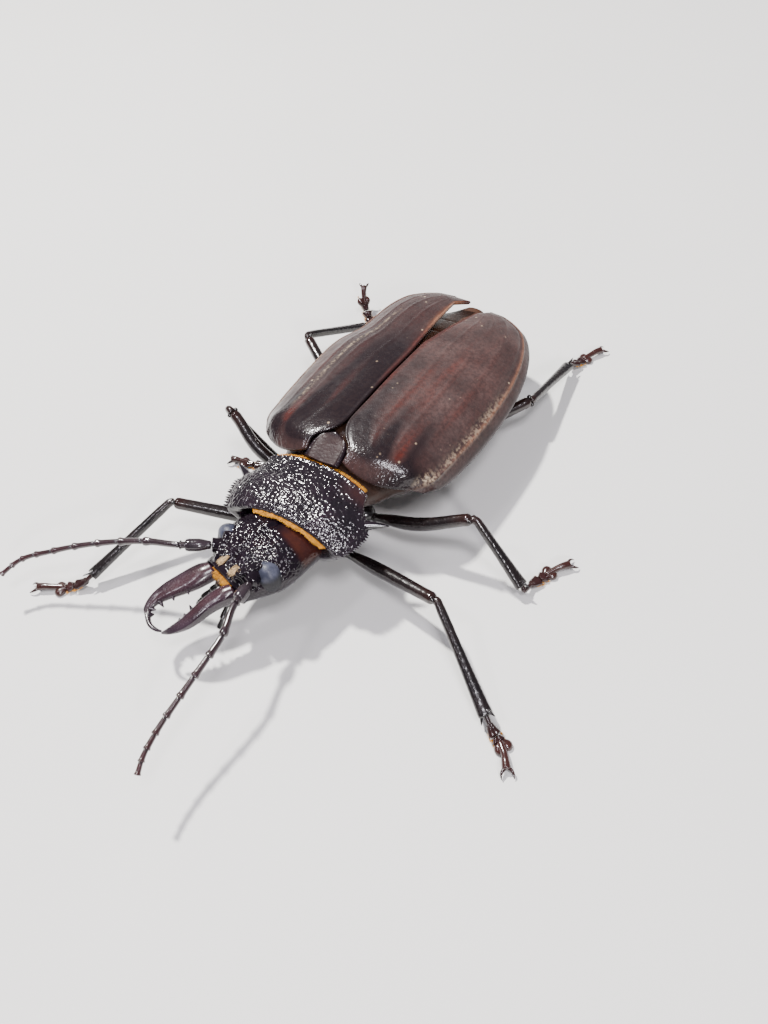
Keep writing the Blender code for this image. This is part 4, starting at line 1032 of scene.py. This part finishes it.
def elytron_edges(side, count):
    """Outer and inner edges: smooth lines through their points, changed towards the apex.

    The inner edge gapes by a power of the way past its start, hooks over its last tenth and
    lifts evenly. The outer edge is pinched in by a bell curve, and lifts too.
    """
    knots = np.arange(len(ELYTRON_OUTER))
    at = np.linspace(0, knots[-1], count)
    outer = spline(knots, np.column_stack([ELYTRON_OUTER, ELYTRON_OUTER_HEIGHT]), at)
    inner = spline(knots, np.column_stack([ELYTRON_INNER, ELYTRON_INNER_HEIGHT]), at)
    start, width, power = ELYTRON_GAPE[side]
    share = np.clip((inner[:, 1] - start) / (ELYTRON_INNER[-1][1] - start), 0.0, 1.0)
    hook = np.clip((share - 1 + HOOK_SHARE) / HOOK_SHARE, 0.0, 1.0)
    inner[:, 0] += width * share**power
    inner += hook[:, None] * ELYTRON_HOOK[side]
    inner[:, 2] += ELYTRON_LIFT[side] * share
    reach = np.where(outer[:, 1] < PINCH_AT, *PINCH_REACH)
    outer[:, 0] -= ELYTRON_PINCH[side] * hump(outer[:, 1], PINCH_AT, reach)
    lifted = np.clip((outer[:, 1] - LIFT_FROM[0]) / np.ptp(LIFT_FROM), 0.0, 1.0)
    outer[:, 2] += ELYTRON_LIFT[side] * lifted
    return outer[:, None], inner[:, None]


def elytron_relief(x, y, across, along):
    """Height over a wing case's dome, by the shares across and along it.

    Bell curves across it make three ribs, the gutter and raised rim at its outer edge and the
    welt at its inner one. A knob makes the shoulder, slow waves the uneven face, and granules
    cover it, coarse ones only at the base.
    """
    ribbed = smooth_step(0.08, 0.22, along) * smooth_step(0.95, 0.75, along)
    past_base = smooth_step(0.0, 0.1, along)
    relief = 0.07 * ribbed * sum(hump(across, place, 0.024) for place in RIBS)
    relief += (0.16 * hump(across, 0.92, 0.010) - 0.10 * hump(across, 0.885, 0.02)) * past_base
    relief += 0.16 * hump(across, 1.0, 0.012)
    relief += 0.10 * hump(across, 0.0, 0.014) - 0.08 * hump(across, 0.035, 0.02)
    relief += 0.45 * hump(across, 0.70, 0.11) * hump(along, 0.07, 0.05)
    waves = np.sin(y * 0.9 + 3 * np.sin(x * 0.4)) * np.sin(x * 0.8 + 1.5 * np.sin(y * 0.31))
    granular = smooth_step(0.16, 0.03, along) * (1 - 0.6 * hump(across, 0.3, 0.2))
    coarse, fine = rugose(x + 120, y, 0.42, 51), rugose(x + 120, y, 0.36, 53)
    return relief + 0.02 * waves + 0.085 * coarse * granular + 0.016 * fine


def make_elytron(side, finishes):
    """A wing case: a dome between its two edges, raised by its relief along its normals.

    The dome falls from the inner edge as (1 - share^2.5)^0.7, and its base bows forward and
    drops. The underside lies its thickness below, and a quarter round joins them.
    """
    rows, columns = ELYTRON_GRID
    outer, inner = elytron_edges(side, rows)
    along = np.linspace(0, 1, rows)[:, None]
    across = np.linspace(0, 1, columns)[None, :] ** 0.92
    plan = inner[..., :2] * (1 - across[..., None]) + outer[..., :2] * across[..., None]
    fade = np.clip(1 - along / BASE_SHARE, 0.0, 1.0)
    swell = np.clip(np.sin(math.pi * across), 0.0, 1.0) ** 0.8
    plan[:, :, 1] -= ELYTRON_BASE_BOW * fade * swell
    dome = (1 - across**2.5) ** 0.7
    height = outer[..., 2] + (inner[..., 2] - outer[..., 2]) * dome
    height -= ELYTRON_BASE_DROP * fade**3 * swell
    top = np.dstack([plan, height])
    normal = unit(np.cross(np.gradient(top, axis=1), np.gradient(top, axis=0)))
    relief = elytron_relief(plan[:, :, 0], plan[:, :, 1], across, along)
    edge = np.minimum(np.minimum(across, 1 - across) / 0.02, np.minimum(along, 1 - along) / 0.012)
    round_edge = np.sqrt(np.clip(1 - (1 - np.clip(edge, 0, 1)) ** 2, 0, 1))
    drop = 0.25 * (1 - round_edge)
    raised = top + normal * (relief * round_edge - drop)[..., None]
    bottom = top - normal * (ELYTRON_THICKNESS * 0.75 - drop)[..., None]
    marks = elytron_marks(side, across, along)
    shell = sheet(mirrored(raised, side), mirrored(bottom, side), marks)
    make_piece("satin_elytron_" + side, [shell], finishes["elytra"], ("elytron_" + side,))


def elytron_marks(side, across, along):
    """Where a wing case is reddish, orange at its rim, dusty, dark or glossy, from 0 to 1.

    A stripe is its strength times a bell curve across the wing case, times S curves in which
    it grows and fades along it. Stripes of one mark add up. On the right wing case the extra
    dark stripe and the darkened hind part are painted shade.
    """
    marks = {}
    for mark, stripes in STRIPES.items():
        marks[mark] = sum(
            strength * hump(across, place, width) * smooth_step(*grow, along) * smooth_step(*fade, along)
            for strength, place, width, grow, fade in stripes + RIGHT_STRIPES[mark] * (side == "right")
        )
    if side == "left":
        marks["pale"] += 1.3 * hump(across, 0.87, 0.045) * hump(along, 0.075, 0.035)
    else:
        hind = smooth_step(0.3, 0.5, along)
        # painted shade: darkens the right wing case's hind part, turned away from the light
        marks["dark"] += 0.42 * hind * smooth_step(0.9, 0.7, across)
        marks["warm"] += 0.2 * hind * smooth_step(0.95, 0.8, across)
    marks["dark"] += 0.35 * smooth_step(0.36, 0.10, along) * smooth_step(0.92, 0.80, across)
    marks["dark"] *= 1 - 0.7 * np.clip(marks["warm"], 0, 1)
    marks["dark"] += 0.6 * smooth_step(0.965, 0.99, across)
    base = smooth_step(0.20, 0.02, along)
    marks["shine"] = 1.2 * base + 0.4 * marks["warm"] + 0.5 * marks["dark"]
    return {mark: np.clip(values, 0, 1) for mark, values in marks.items()}


def make_hind_body(finishes):
    """Thorax and belly under the wing cases: fine pits, and belly plates stepped at their edges.

    A belly plate rises over its length as a sixth power, and the thorax has a groove below, a
    bell curve about its middle. Both kinds of relief fade at the ends.
    """
    parts = (("mesothorax", MESOTHORAX_STATIONS, 60), ("metathorax", METATHORAX_STATIONS, 70),
             ("abdomen", ABDOMEN_STATIONS, 200))
    for name, stations, count in parts:
        rings = body_rings(stations, count, 200, HIND_BODY_POWERS)
        share = np.linspace(0, 1, count)[:, None]
        if name == "mesothorax":
            across = rings[:, :, 0] / rings[:, :, 0].max(1, keepdims=True)
            rings[:, :, 1] += HIND_BOW * across**2 * 0.8 * smooth_step(0.5, 0.0, share)
        x, y, z = (rings[:, :, axis].copy() for axis in range(3))
        relief = rugose(arc_from_top(rings), y, 0.6, 61) * 0.02
        if name == "abdomen":
            plates = (y - stations[0][0]) / (BELLY_END - stations[0][0]) * STERNITES
            relief = relief - 0.32 * (1 - np.mod(plates, 1.0)) ** 6 * (plates < STERNITES)
        else:
            relief = relief - 0.25 * hump(x, 0.0, 0.35) * (z < 8.0)
        ends = smooth_step(0.0, 0.02, share) * smooth_step(1.0, 0.98, share)
        rings = rings + ring_normals(rings) * (relief * ends - 0.04)[..., None]
        z = rings[:, :, 2]
        back = smooth_step(10.5, 11.5, z) * (0.85 if name == "abdomen" else 0.2)
        shell = tube(rings, {"warm": np.maximum(0.5 * smooth_step(9.0, 6.5, z), back)})
        make_piece("pitted_" + name, [shell], finishes["brown"], (name,))


def round_corner(before, corner, after, radius, count):
    """Points on an arc that touches the straights before and after a corner."""
    upper, lower = unit(corner - before), unit(after - corner)
    turn = math.acos(float(np.clip(np.dot(upper, lower), -1.0, 1.0)))
    centre = corner + unit(lower - upper) * radius / math.cos(turn / 2)
    start = corner - upper * radius * math.tan(turn / 2)
    outward = unit(start - centre)
    angles = np.linspace(0, turn, count)[:, None]
    return centre + radius * (outward * np.cos(angles) + upper * np.sin(angles))


def make_leg(name, finishes):
    """Hip, thigh, shin and foot of one leg: two straights joined by an arc at the knee."""
    hip, knee, ankle, lobes, claw_tip = (np.array(point, float) for point in LEGS[name])
    arc = round_corner(hip, knee, ankle, KNEE_RADIUS, 14)
    upper, lower = unit(knee - hip), unit(ankle - arc[-1])
    sign = 1.0 if hip[0] > 0 else -1.0
    hip_ball = ellipsoid((sign * COXA_CENTRE_X, hip[1], COXA_HEIGHT), COXA_RADII, 44, 28)
    make_piece("hip_" + name, [tube(hip_ball)], finishes["leg"], ("coxa_" + name,))
    make_thigh(name, hip, arc[0], upper, lower, finishes)
    make_shin(name, arc, ankle, lobes, upper, lower, finishes)
    make_foot(name, lower, ankle, lobes, claw_tip, finishes)


def make_thigh(name, hip, end, upper, lower, finishes):
    """A thigh: a flattened glossy tube with a collar at the hip and two knobs at the knee.

    Its thickness is smooth through its profile, and a bow is a fourth-power hump of the way.
    """
    share = np.linspace(0.0, 1.0, 70)
    line = hip + (end - hip) * share[:, None] - upper * 0.25 * (1 - share[:, None])
    bow = 16 * share**2 * (1 - share) ** 2
    line = line + bow[:, None] * FEMUR_BOW.get(name, (0.0, 0.0, 0.0))
    profile = spline(np.linspace(0, 1, len(FEMUR_PROFILE)), FEMUR_PROFILE, share)
    profile = profile * rounded_ends(share, 0, 0.04) * (1 + 0.05 * hump(share, 0.95, 0.04))
    wide, tall = profile * FEMUR_WIDTH / 2, profile * FEMUR_HEIGHT / 2
    rings = tube_rings(line, wide, tall, 40, upper, upper, 0.92)
    rings = rings + ring_normals(rings) * leg_grain(rings, share * 20, 71)[..., None]
    warm, shine = 0.35 * smooth_step(0.7, 1.0, share), hump(share, 0.97, 0.04)
    shells = [tube(rings, {"warm": warm[:, None], "shine": shine[:, None]}),
              tube(ellipsoid(hip + upper * 0.4, (0.85, 0.85, 0.85), 28, 18))]
    across = unit(np.cross(upper, lower))
    for turn in (-1.0, 1.0):
        knob = end + across * turn * FEMUR_WIDTH * 0.33 - upper * 0.1
        shells.append(tube(ellipsoid(knob, (0.42, 0.42, 0.42), 24, 16)))
    make_piece("thigh_" + name, shells, finishes["leg"], ("femur_" + name,))


def make_shin(name, arc, ankle, lobes, upper, lower, finishes):
    """A shin: a flattened tube from the knee's arc, widening as a square to its two spurs."""
    way = np.linspace(0, 1, 74)[1:]
    straight = arc[-1] + way[:, None] * (ankle - arc[-1])
    line = np.vstack([arc[0] - upper * 0.5, arc, straight])
    along = np.concatenate([np.zeros(len(arc) + 1), way])
    bent = np.linspace(0.0, 1.0, len(line))
    knee_size = KNEE_SHARE + (1 - KNEE_SHARE) * smooth_step(0, 0.1, along)
    wide = TIBIA_WIDTH / 2 * knee_size + (TIBIA_END_WIDTH - TIBIA_WIDTH) / 2 * along**2
    tall = TIBIA_HEIGHT / 2 * knee_size
    ends = rounded_ends(bent, 0.03, 0.015)
    rings = tube_rings(line, wide * ends, tall * ends, 36, first=upper, last=lower, power=0.9)
    rings = rings + ring_normals(rings) * leg_grain(rings, bent * 20, 73)[..., None]
    shells = [tube(rings, {"warm": 0.3 * smooth_step(0.3, 0.0, bent)[:, None]})]
    level = unit(np.cross(lower, lobes - ankle))
    for turn, size in ((-1.0, 1.0), (1.0, 0.8)):
        root = ankle - lower * (0.85 + 0.1 * size) + level * turn * SPUR_SPREAD[0]
        tip = ankle + lower * (SPUR_LENGTH * size - 0.9)
        tip = tip + level * turn * (TIBIA_END_WIDTH / 2 + SPUR_SPREAD[1])
        shells.append(spike(root, tip, SPUR_RADIUS, level * turn * 0.06, 16, 14))
    make_piece("shin_" + name, shells, finishes["leg"], ("tibia_" + name,))


def leg_grain(rings, along, seed):
    """Shallow punctures of a leg: domes turned inwards, a few hundredths of a millimetre deep."""
    nearness, number = jittered_grains(arc_from_top(rings) + 30, along[:, None], 0.42, seed)
    return -0.035 * nearness * (number > 0.45)


def foot_corner(name, lower, ankle):
    """Where the foot's neck turns onto the line of its pads."""
    return np.array(FOOT_CORNER.get(name, ankle + lower * FOOT_NECK.get(name, USUAL_NECK)))


def pad_line(corner, lobes, share):
    """Points of the pads' line: straight in plan, its height changing as a power of the way.

    It comes down early, or on a raised foot it rises late.
    """
    rise = 3.0 if lobes[2] > corner[2] else 0.6
    level = np.clip(share, 0, None) ** rise
    return corner + (lobes - corner) * np.column_stack([share, share, level])


def foot_pads(corner, lobes):
    """Three pads in a row: flat tubes of the pads' outline, grooved by a bell curve on top."""
    outline = np.array(PAD_OUTLINE)
    groove = 0.14 * hump(np.arange(36) / 36, 0.25, 0.05)
    ends = rounded_ends(np.linspace(0, 1, 36), 0.16, 0.2)
    shells = []
    for first, last in PAD_SPANS:
        share = np.linspace(first, last, 36)
        wide = np.interp(share, outline[:, 0], outline[:, 1])
        half_wide, half_tall = wide * ends * PAD_WIDTH / 2, (0.75 + 0.25 * wide) * ends * PAD_HEIGHT / 2
        pad = tube_rings(pad_line(corner, lobes, share), half_wide, half_tall, 36)
        pad[..., 2] = np.maximum(pad[..., 2] - groove, OVER_FLOOR)
        shells.append(tube(pad, {"shine": 0.6 * ends[:, None]}))
    return shells


def foot_lobes(end, heading):
    """The two lobes of the third pad: straight tubes apart from each other, thickest past half."""
    level = unit(np.cross(heading, (0.0, 0.0, 1.0)))
    share = np.linspace(0, 1, 28)
    shells = []
    for turn, size in PAIR_SIZES:
        root = end - heading * (1.3 - 0.15 * size) + level * turn * 0.1
        tip = end + heading * size + level * turn * LOBE_SPREAD
        radii = LOBE_RADIUS * size * (0.55 + 0.45 * hump(share, 0.6, 0.4))
        radii *= rounded_ends(share, 0.25, 0.3)
        lobe = tube_rings(np.linspace(root, tip, 28), radii, radii * 0.85, 30)
        lobe[..., 2] = np.maximum(lobe[..., 2], OVER_FLOOR)
        shells.append(tube(lobe, {"warm": 0.5 * share[:, None], "shine": 0.5 * share[:, None]}))
    return shells


def claw_joint(end, heading, claw_tip):
    """The slender arched joint after the pads, thicker to its end, and its two hooked claws."""
    tip_reach = claw_tip - end
    joint = np.array([end - heading * 0.9] + [end + tip_reach * part for part in (0.25, 0.5, 0.75)])
    joint[:, 2] += CLAW_JOINT_ARCH
    share = np.linspace(0, 1, 40)
    radii = CLAW_JOINT_RADIUS * (1.05 + 0.45 * share**2) * rounded_ends(share, 0.05, 0.1)
    line = spline(np.arange(4), joint, share * 3)
    shells = [tube(tube_rings(line, radii, radii, 28), {"warm": 0.3})]
    ahead = unit(tip_reach)
    sideways = unit(np.cross(ahead, (0.0, 0.0, 1.0)))
    for turn, size in PAIR_SIZES:
        root = joint[-1] - ahead * 0.4 * size + sideways * turn * 0.15
        tip = claw_tip + sideways * turn * CLAW_SPREAD * size - (0.0, 0.0, CLAW_HOOK[0])
        bend = sideways * turn * CLAW_HOOK[0] + (0.0, 0.0, CLAW_HOOK[1])
        shells.append(spike(root, tip, CLAW_RADIUS, bend, 18, 20))
    return shells


def make_foot(name, lower, ankle, lobes, claw_tip, finishes):
    """A foot: a thin bent neck, pads like hearts, the third of two lobes, and the claws."""
    corner = foot_corner(name, lower, ankle)
    bend = np.array([
        ankle - lower * 0.3, ankle + lower * GAP, ankle + lower * (GAP + NECK_BEND), corner,
        corner + (lobes - corner) * NECK_DEPTH,
    ])
    neck = spline(np.arange(len(bend)), bend, np.linspace(0, len(bend) - 1, 40))
    shells = [tube(tube_rings(neck, NECK_RADIUS, NECK_RADIUS, 24, first=lower))]
    end, before = pad_line(corner, lobes, np.array([1.0, 0.77]))
    heading = unit(end - before)
    shells += foot_pads(corner, lobes) + foot_lobes(end, heading)
    shells += claw_joint(end, heading, claw_tip)
    make_piece("padded_foot_" + name, shells, finishes["foot"], ("tarsus_" + name,))


def tufts(name, roots, leans, lengths, thick, sag, spread_on, material, seed):
    """Many thin tapered hairs as three-sided prisms bent by gravity, joined in one mesh.

    A hair's point at share t is root + lean·length·t + sag·length·t², and its radius falls
    to a point. Each hair is a small patch at its root's place on the bake map.
    """
    draw = np.random.default_rng(seed)
    count = len(roots)
    leans = unit(leans + draw.normal(0, 0.12, (count, 3)))
    lengths = np.broadcast_to(lengths, count) * draw.uniform(0.7, 1.15, count)
    share = np.array([0.0, 0.4, 0.75, 1.0])
    side = unit(np.cross(leans, draw.normal(0, 1, (count, 3))))
    other = np.cross(leans, side)
    angle = np.arange(3) * 2 * math.pi / 3
    cosine, sine = np.cos(angle), np.sin(angle)
    ring = side[:, None] * cosine[None, :, None] + other[:, None] * sine[None, :, None]
    line = roots[:, None] + leans[:, None] * (lengths[:, None] * share)[..., None]
    line = line + np.asarray(sag, float) * (lengths[:, None] * share**2)[..., None]
    radii = thick * draw.uniform(0.7, 1.2, count)[:, None] * np.array([1.0, 0.85, 0.5, 0.08])
    points = line[:, :, None] + ring[:, None] * radii[:, :, None, None]
    points[..., 2] = np.maximum(points[..., 2], 0.03)
    base = np.arange(count)[:, None, None] * 12
    level, corner = np.arange(3)[:, None] * 3, np.arange(3)
    after = (corner + 1) % 3
    quads = np.stack([base + level + corner, base + level + after,
                      base + level + after + 3, base + level + corner + 3], -1).reshape(-1, 4)
    start = np.arange(count)[:, None] * 12
    tris = np.vstack([start + (0, 2, 1), start + (9, 10, 11)])
    around = np.stack([np.repeat(share, 3) - 0.5, np.tile(cosine, 4)], -1)
    patch = np.asarray(spread_on, float)[:, None] + HAIR_PATCH * around[None]
    marks = {"reach": np.tile(np.repeat(share, 3), count)}
    shell = Shell(points, quads, tris, marks, patch.reshape(-1, 2)).outward()
    make_piece(name, [shell], material)


def make_neck_fringe(finishes, draw):
    """Golden hairs rooted round the front opening of the pronotum, laid forward over the neck.

    Their roots follow the opening's dome at random angles and depths, and their lengths swing
    in two sines along it.
    """
    count = NECK_HAIRS
    angle = np.radians(22.0 + 103.0 * draw.uniform(0.0, 1.0, count) ** 1.1)
    depth = draw.uniform(0.0, 1.0, count)
    y, half, top, side_height, _ = PRONOTUM_STATIONS[0]
    x = (half - 1.4 - 0.8 * depth) * np.cos(angle)
    z = side_height + (top - side_height - 0.1 - 0.35 * depth) * np.sin(angle) ** 1.5
    bow = FRONT_BOWS[0][1] * (x / half) ** 2
    roots = np.column_stack([x, y + bow + 0.45 - 0.5 * depth, z])
    leans = np.column_stack([0.25 * np.cos(angle) - 0.15, -np.ones(count), np.full(count, 0.05)])
    place = np.column_stack([angle / math.pi, 0.1 + 0.8 * depth])
    lengths = 0.68 + 0.12 * np.sin(angle * 11.0) + 0.03 * np.sin(angle * 29.0 + 1.0)
    sag = (0.0, 0.0, -0.10)
    tufts("neck_fringe", roots, leans, lengths, 0.05, sag, place, finishes["gold"], 81)


def make_hind_fringe(finishes, draw):
    """Golden hairs along the pronotum's hind edge, rooted on its dome and laid back."""
    count = HIND_HAIRS
    x = draw.uniform(-9.0, 9.0, count)
    depth = draw.uniform(0.0, 1.0, count)
    y, half, top, side_height, _ = PRONOTUM_STATIONS[-1]
    height = side_height + (top - side_height) * np.clip(1 - (x / half) ** 2, 0, 1) ** 0.75
    bow = HIND_BOW * (x / half) ** 2
    roots = np.column_stack([x, y + bow - 0.1 + 0.25 * depth, height - 0.25 - 0.5 * depth])
    leans = np.column_stack([0.06 * x / half, np.ones(count), np.full(count, 0.25)])
    place = np.column_stack([(x + 9) / 18, 0.1 + 0.8 * depth])
    tufts("hind_fringe", roots, leans, 0.9, 0.04, (0.0, 0.0, -0.15), place, finishes["gold"], 82)


def make_scutellum_down(finishes, draw):
    """Short golden hairs on the front of the scutellum, thickest at its base and laid back."""
    count = SCUTELLUM_HAIRS
    x = draw.uniform(-1.0, 1.0, count)
    along = draw.uniform(0.0, 1.0, count) ** 1.5
    y = -0.8 + 1.5 * along
    stations = np.array(SCUTELLUM_STATIONS)
    width, top = spline(stations[:, 0], stations[:, 1:], y).T
    middle = (top + SCUTELLUM_UNDERSIDE) / 2 + 0.2
    height = middle + (top - middle) * np.clip(1 - x**2, 0, 1) ** 0.3
    height += 0.10 - 0.30 * hump(x, 0.0, 0.55)
    roots = np.column_stack([x * width * 0.9, y, height - 0.15])
    leans = np.column_stack([0.3 * x, np.ones(count), np.full(count, 0.18)])
    place = np.column_stack([(x + 1) / 2, along])
    tufts("scutellum_down", roots, leans, 0.6, 0.035, (0.0, 0.0, -0.1), place, finishes["gold"], 83)


def make_face_hair(finishes, draw):
    """Two pale tufts on the clypeus, scattered in bell curves, and hair at the feet of the jaws."""
    stations = np.array(HEAD_STATIONS)[::-1]
    for number, (x, y) in enumerate(CLYPEUS_TUFTS):
        count = CLYPEUS_HAIRS
        place = draw.normal(0, 0.5, (count, 2)).clip(-1, 1)
        px, py = x + TUFT_REACH * place[:, 0], y + TUFT_REACH * place[:, 1]
        half, top, side_height, _ = spline(stations[:, 0], stations[:, 1:], py).T
        dome = np.sqrt(np.clip(1 - (px / half) ** 2, 0, 1))
        roots = turned(np.column_stack([px, py, side_height + (top - side_height) * dome - 0.25]))
        leans = np.repeat([head_ahead() + (0.0, 0.0, 0.25)], count, axis=0)
        tufts(f"clypeus_tuft_{number + 1}", roots, leans, 0.9, 0.04, (0.0, 0.0, -0.2),
              place * 0.4 + 0.5, finishes["straw"], 84 + number)
    count = JAW_HAIRS
    share = draw.uniform(-1, 1, count)
    drop = draw.uniform(0, 1, count)
    roots = np.column_stack([2.6 * share, np.full(count, HEAD_FRONT + 0.2), 12.6 - 2.2 * drop])
    leans = np.repeat([head_ahead() + (0.0, 0.0, 0.1)], count, axis=0)
    tufts("jaw_hair", turned(roots), leans, 1.3, 0.045, (0.0, 0.0, -0.2),
          np.column_stack([share * 0.4 + 0.5, drop]), finishes["gold"], 86)


def make_foot_brushes(finishes, draw):
    """Short golden brushes: hairs at random places on both edges of the pads, leaning out."""
    outline = np.array(PAD_OUTLINE)
    for number, name in enumerate(LEGS):
        hip, knee, ankle, lobes, _ = (np.array(point, float) for point in LEGS[name])
        lower = unit(ankle - round_corner(hip, knee, ankle, KNEE_RADIUS, 3)[-1])
        corner = foot_corner(name, lower, ankle)
        reach = lobes - corner
        level = unit(np.cross(reach, (0.0, 0.0, 1.0)))
        share = draw.uniform(0.1, 1.15, BRUSH_HAIRS)
        turn = draw.choice([-1.0, 1.0], BRUSH_HAIRS)
        wide = np.interp(share, outline[:, 0], outline[:, 1]) * PAD_WIDTH / 2
        roots = pad_line(corner, lobes, share) + level * (turn * wide * 0.8)[:, None]
        roots[:, 2] = np.maximum(roots[:, 2] - 0.15, 0.1)
        leans = level * turn[:, None] * 0.7 + unit(reach) * 0.8 - (0.0, 0.0, 0.25)
        place = np.column_stack([share / 1.2, 0.5 + 0.3 * turn])
        tufts("foot_brush_" + name, roots, leans, 0.55, 0.03, (0.0, 0.0, -0.1),
              place, finishes["gold"], 90 + number)


def make_finishes():
    """All finishes by their short names: the horny ones from their table, then the special ones."""
    finishes = {name: cuticle(*values) for name, values in CUTICLES.items()}
    finishes["elytra"] = wing_case_finish()
    finishes["eye"] = eye_finish()
    finishes["gold"] = hair_finish("golden_hair", (0.42, 0.15, 0.012), (0.95, 0.47, 0.055))
    finishes["straw"] = hair_finish("straw_hair", (0.42, 0.26, 0.11), (0.75, 0.55, 0.32))
    return finishes


def make_floor():
    """A plain pale floor, far wider than the model, in two tones of soft clouds."""
    half = FLOOR_HALF_WIDTH
    mesh = bpy.data.meshes.new("floor")
    corners = [(-half, -half, 0), (half, -half, 0), (half, half, 0), (-half, half, 0)]
    mesh.from_pydata(corners, [], [(0, 1, 2, 3)])
    material, tree, place = start_finish("pale_floor")
    shader = tree.nodes["Principled BSDF"]
    tone = spread(tree, noise(tree, place, 6.0, 3.0), 0.3, 0.7)
    colour = blend(tree, tone, (0.70, 0.70, 0.68), (0.74, 0.74, 0.72))
    tree.links.new(colour, shader.inputs["Base Color"])
    shader.inputs["Roughness"].default_value = 0.7
    mesh.materials.append(material)
    floor = bpy.data.objects.new("floor", mesh)
    bpy.context.scene.collection.objects.link(floor)


def make_light(name, place, aim, size, power, colour):
    """A square soft light, turned to its aim."""
    light = bpy.data.lights.new(name, "AREA")
    light.size = size
    light.energy = power
    light.color = colour
    made = bpy.data.objects.new(name, light)
    made.location = place
    made.rotation_euler = (Vector(aim) - Vector(place)).to_track_quat("-Z", "Y").to_euler()
    bpy.context.scene.collection.objects.link(made)


def make_lights():
    """A bright key over the beetle's right, three softer lights round its front, a pale sky."""
    for values in LIGHTS:
        make_light(*values)
    world = bpy.data.worlds.new("pale_sky")
    world.use_nodes = True
    background = world.node_tree.nodes["Background"]
    background.inputs["Color"].default_value = SKY_COLOUR
    background.inputs["Strength"].default_value = SKY_STRENGTH
    bpy.context.scene.world = world


def make_camera():
    """The photograph's viewpoint: azimuth, elevation and roll give its three axes."""
    turns = (CAMERA_AZIMUTH, CAMERA_ELEVATION, CAMERA_ROLL)
    azimuth, elevation, roll = (math.radians(turn) for turn in turns)
    level = Vector((math.sin(azimuth), -math.cos(azimuth), 0.0)) * math.cos(elevation)
    back = level + Vector((0.0, 0.0, math.sin(elevation)))
    right = Vector((math.cos(azimuth), math.sin(azimuth), 0.0))
    up = back.cross(right)
    right, up = (right * math.cos(roll) + up * math.sin(roll),
                 up * math.cos(roll) - right * math.sin(roll))
    lens = bpy.data.cameras.new("camera")
    lens.sensor_width = SENSOR_WIDTH
    lens.lens = FOCAL_PIXELS / IMAGE_HEIGHT * SENSOR_WIDTH
    lens.clip_start = 0.01
    lens.clip_end = 20.0
    camera = bpy.data.objects.new("camera", lens)
    place = Vector((np.array(CAMERA_PLACE) - CENTRE_OF_BOX) * MM)
    camera.matrix_world = Matrix.Translation(place) @ Matrix((right, up, back)).transposed().to_4x4()
    bpy.context.scene.collection.objects.link(camera)
    bpy.context.scene.camera = camera


def main():
    """Makes the stage, then the beetle from front to rear, and its hair last."""
    make_camera()
    make_floor()
    make_lights()
    finishes = make_finishes()
    make_pronotum(finishes)
    make_head(finishes)
    make_eyes(finishes)
    make_mandibles(finishes)
    make_mouthparts(finishes)
    make_antennae(finishes)
    make_scutellum(finishes)
    for side in ("left", "right"):
        make_elytron(side, finishes)
    make_hind_body(finishes)
    for name in LEGS:
        make_leg(name, finishes)
    draw = np.random.default_rng(3)
    make_neck_fringe(finishes, draw)
    make_hind_fringe(finishes, draw)
    make_scutellum_down(finishes, draw)
    make_face_hair(finishes, draw)
    make_foot_brushes(finishes, draw)


main()
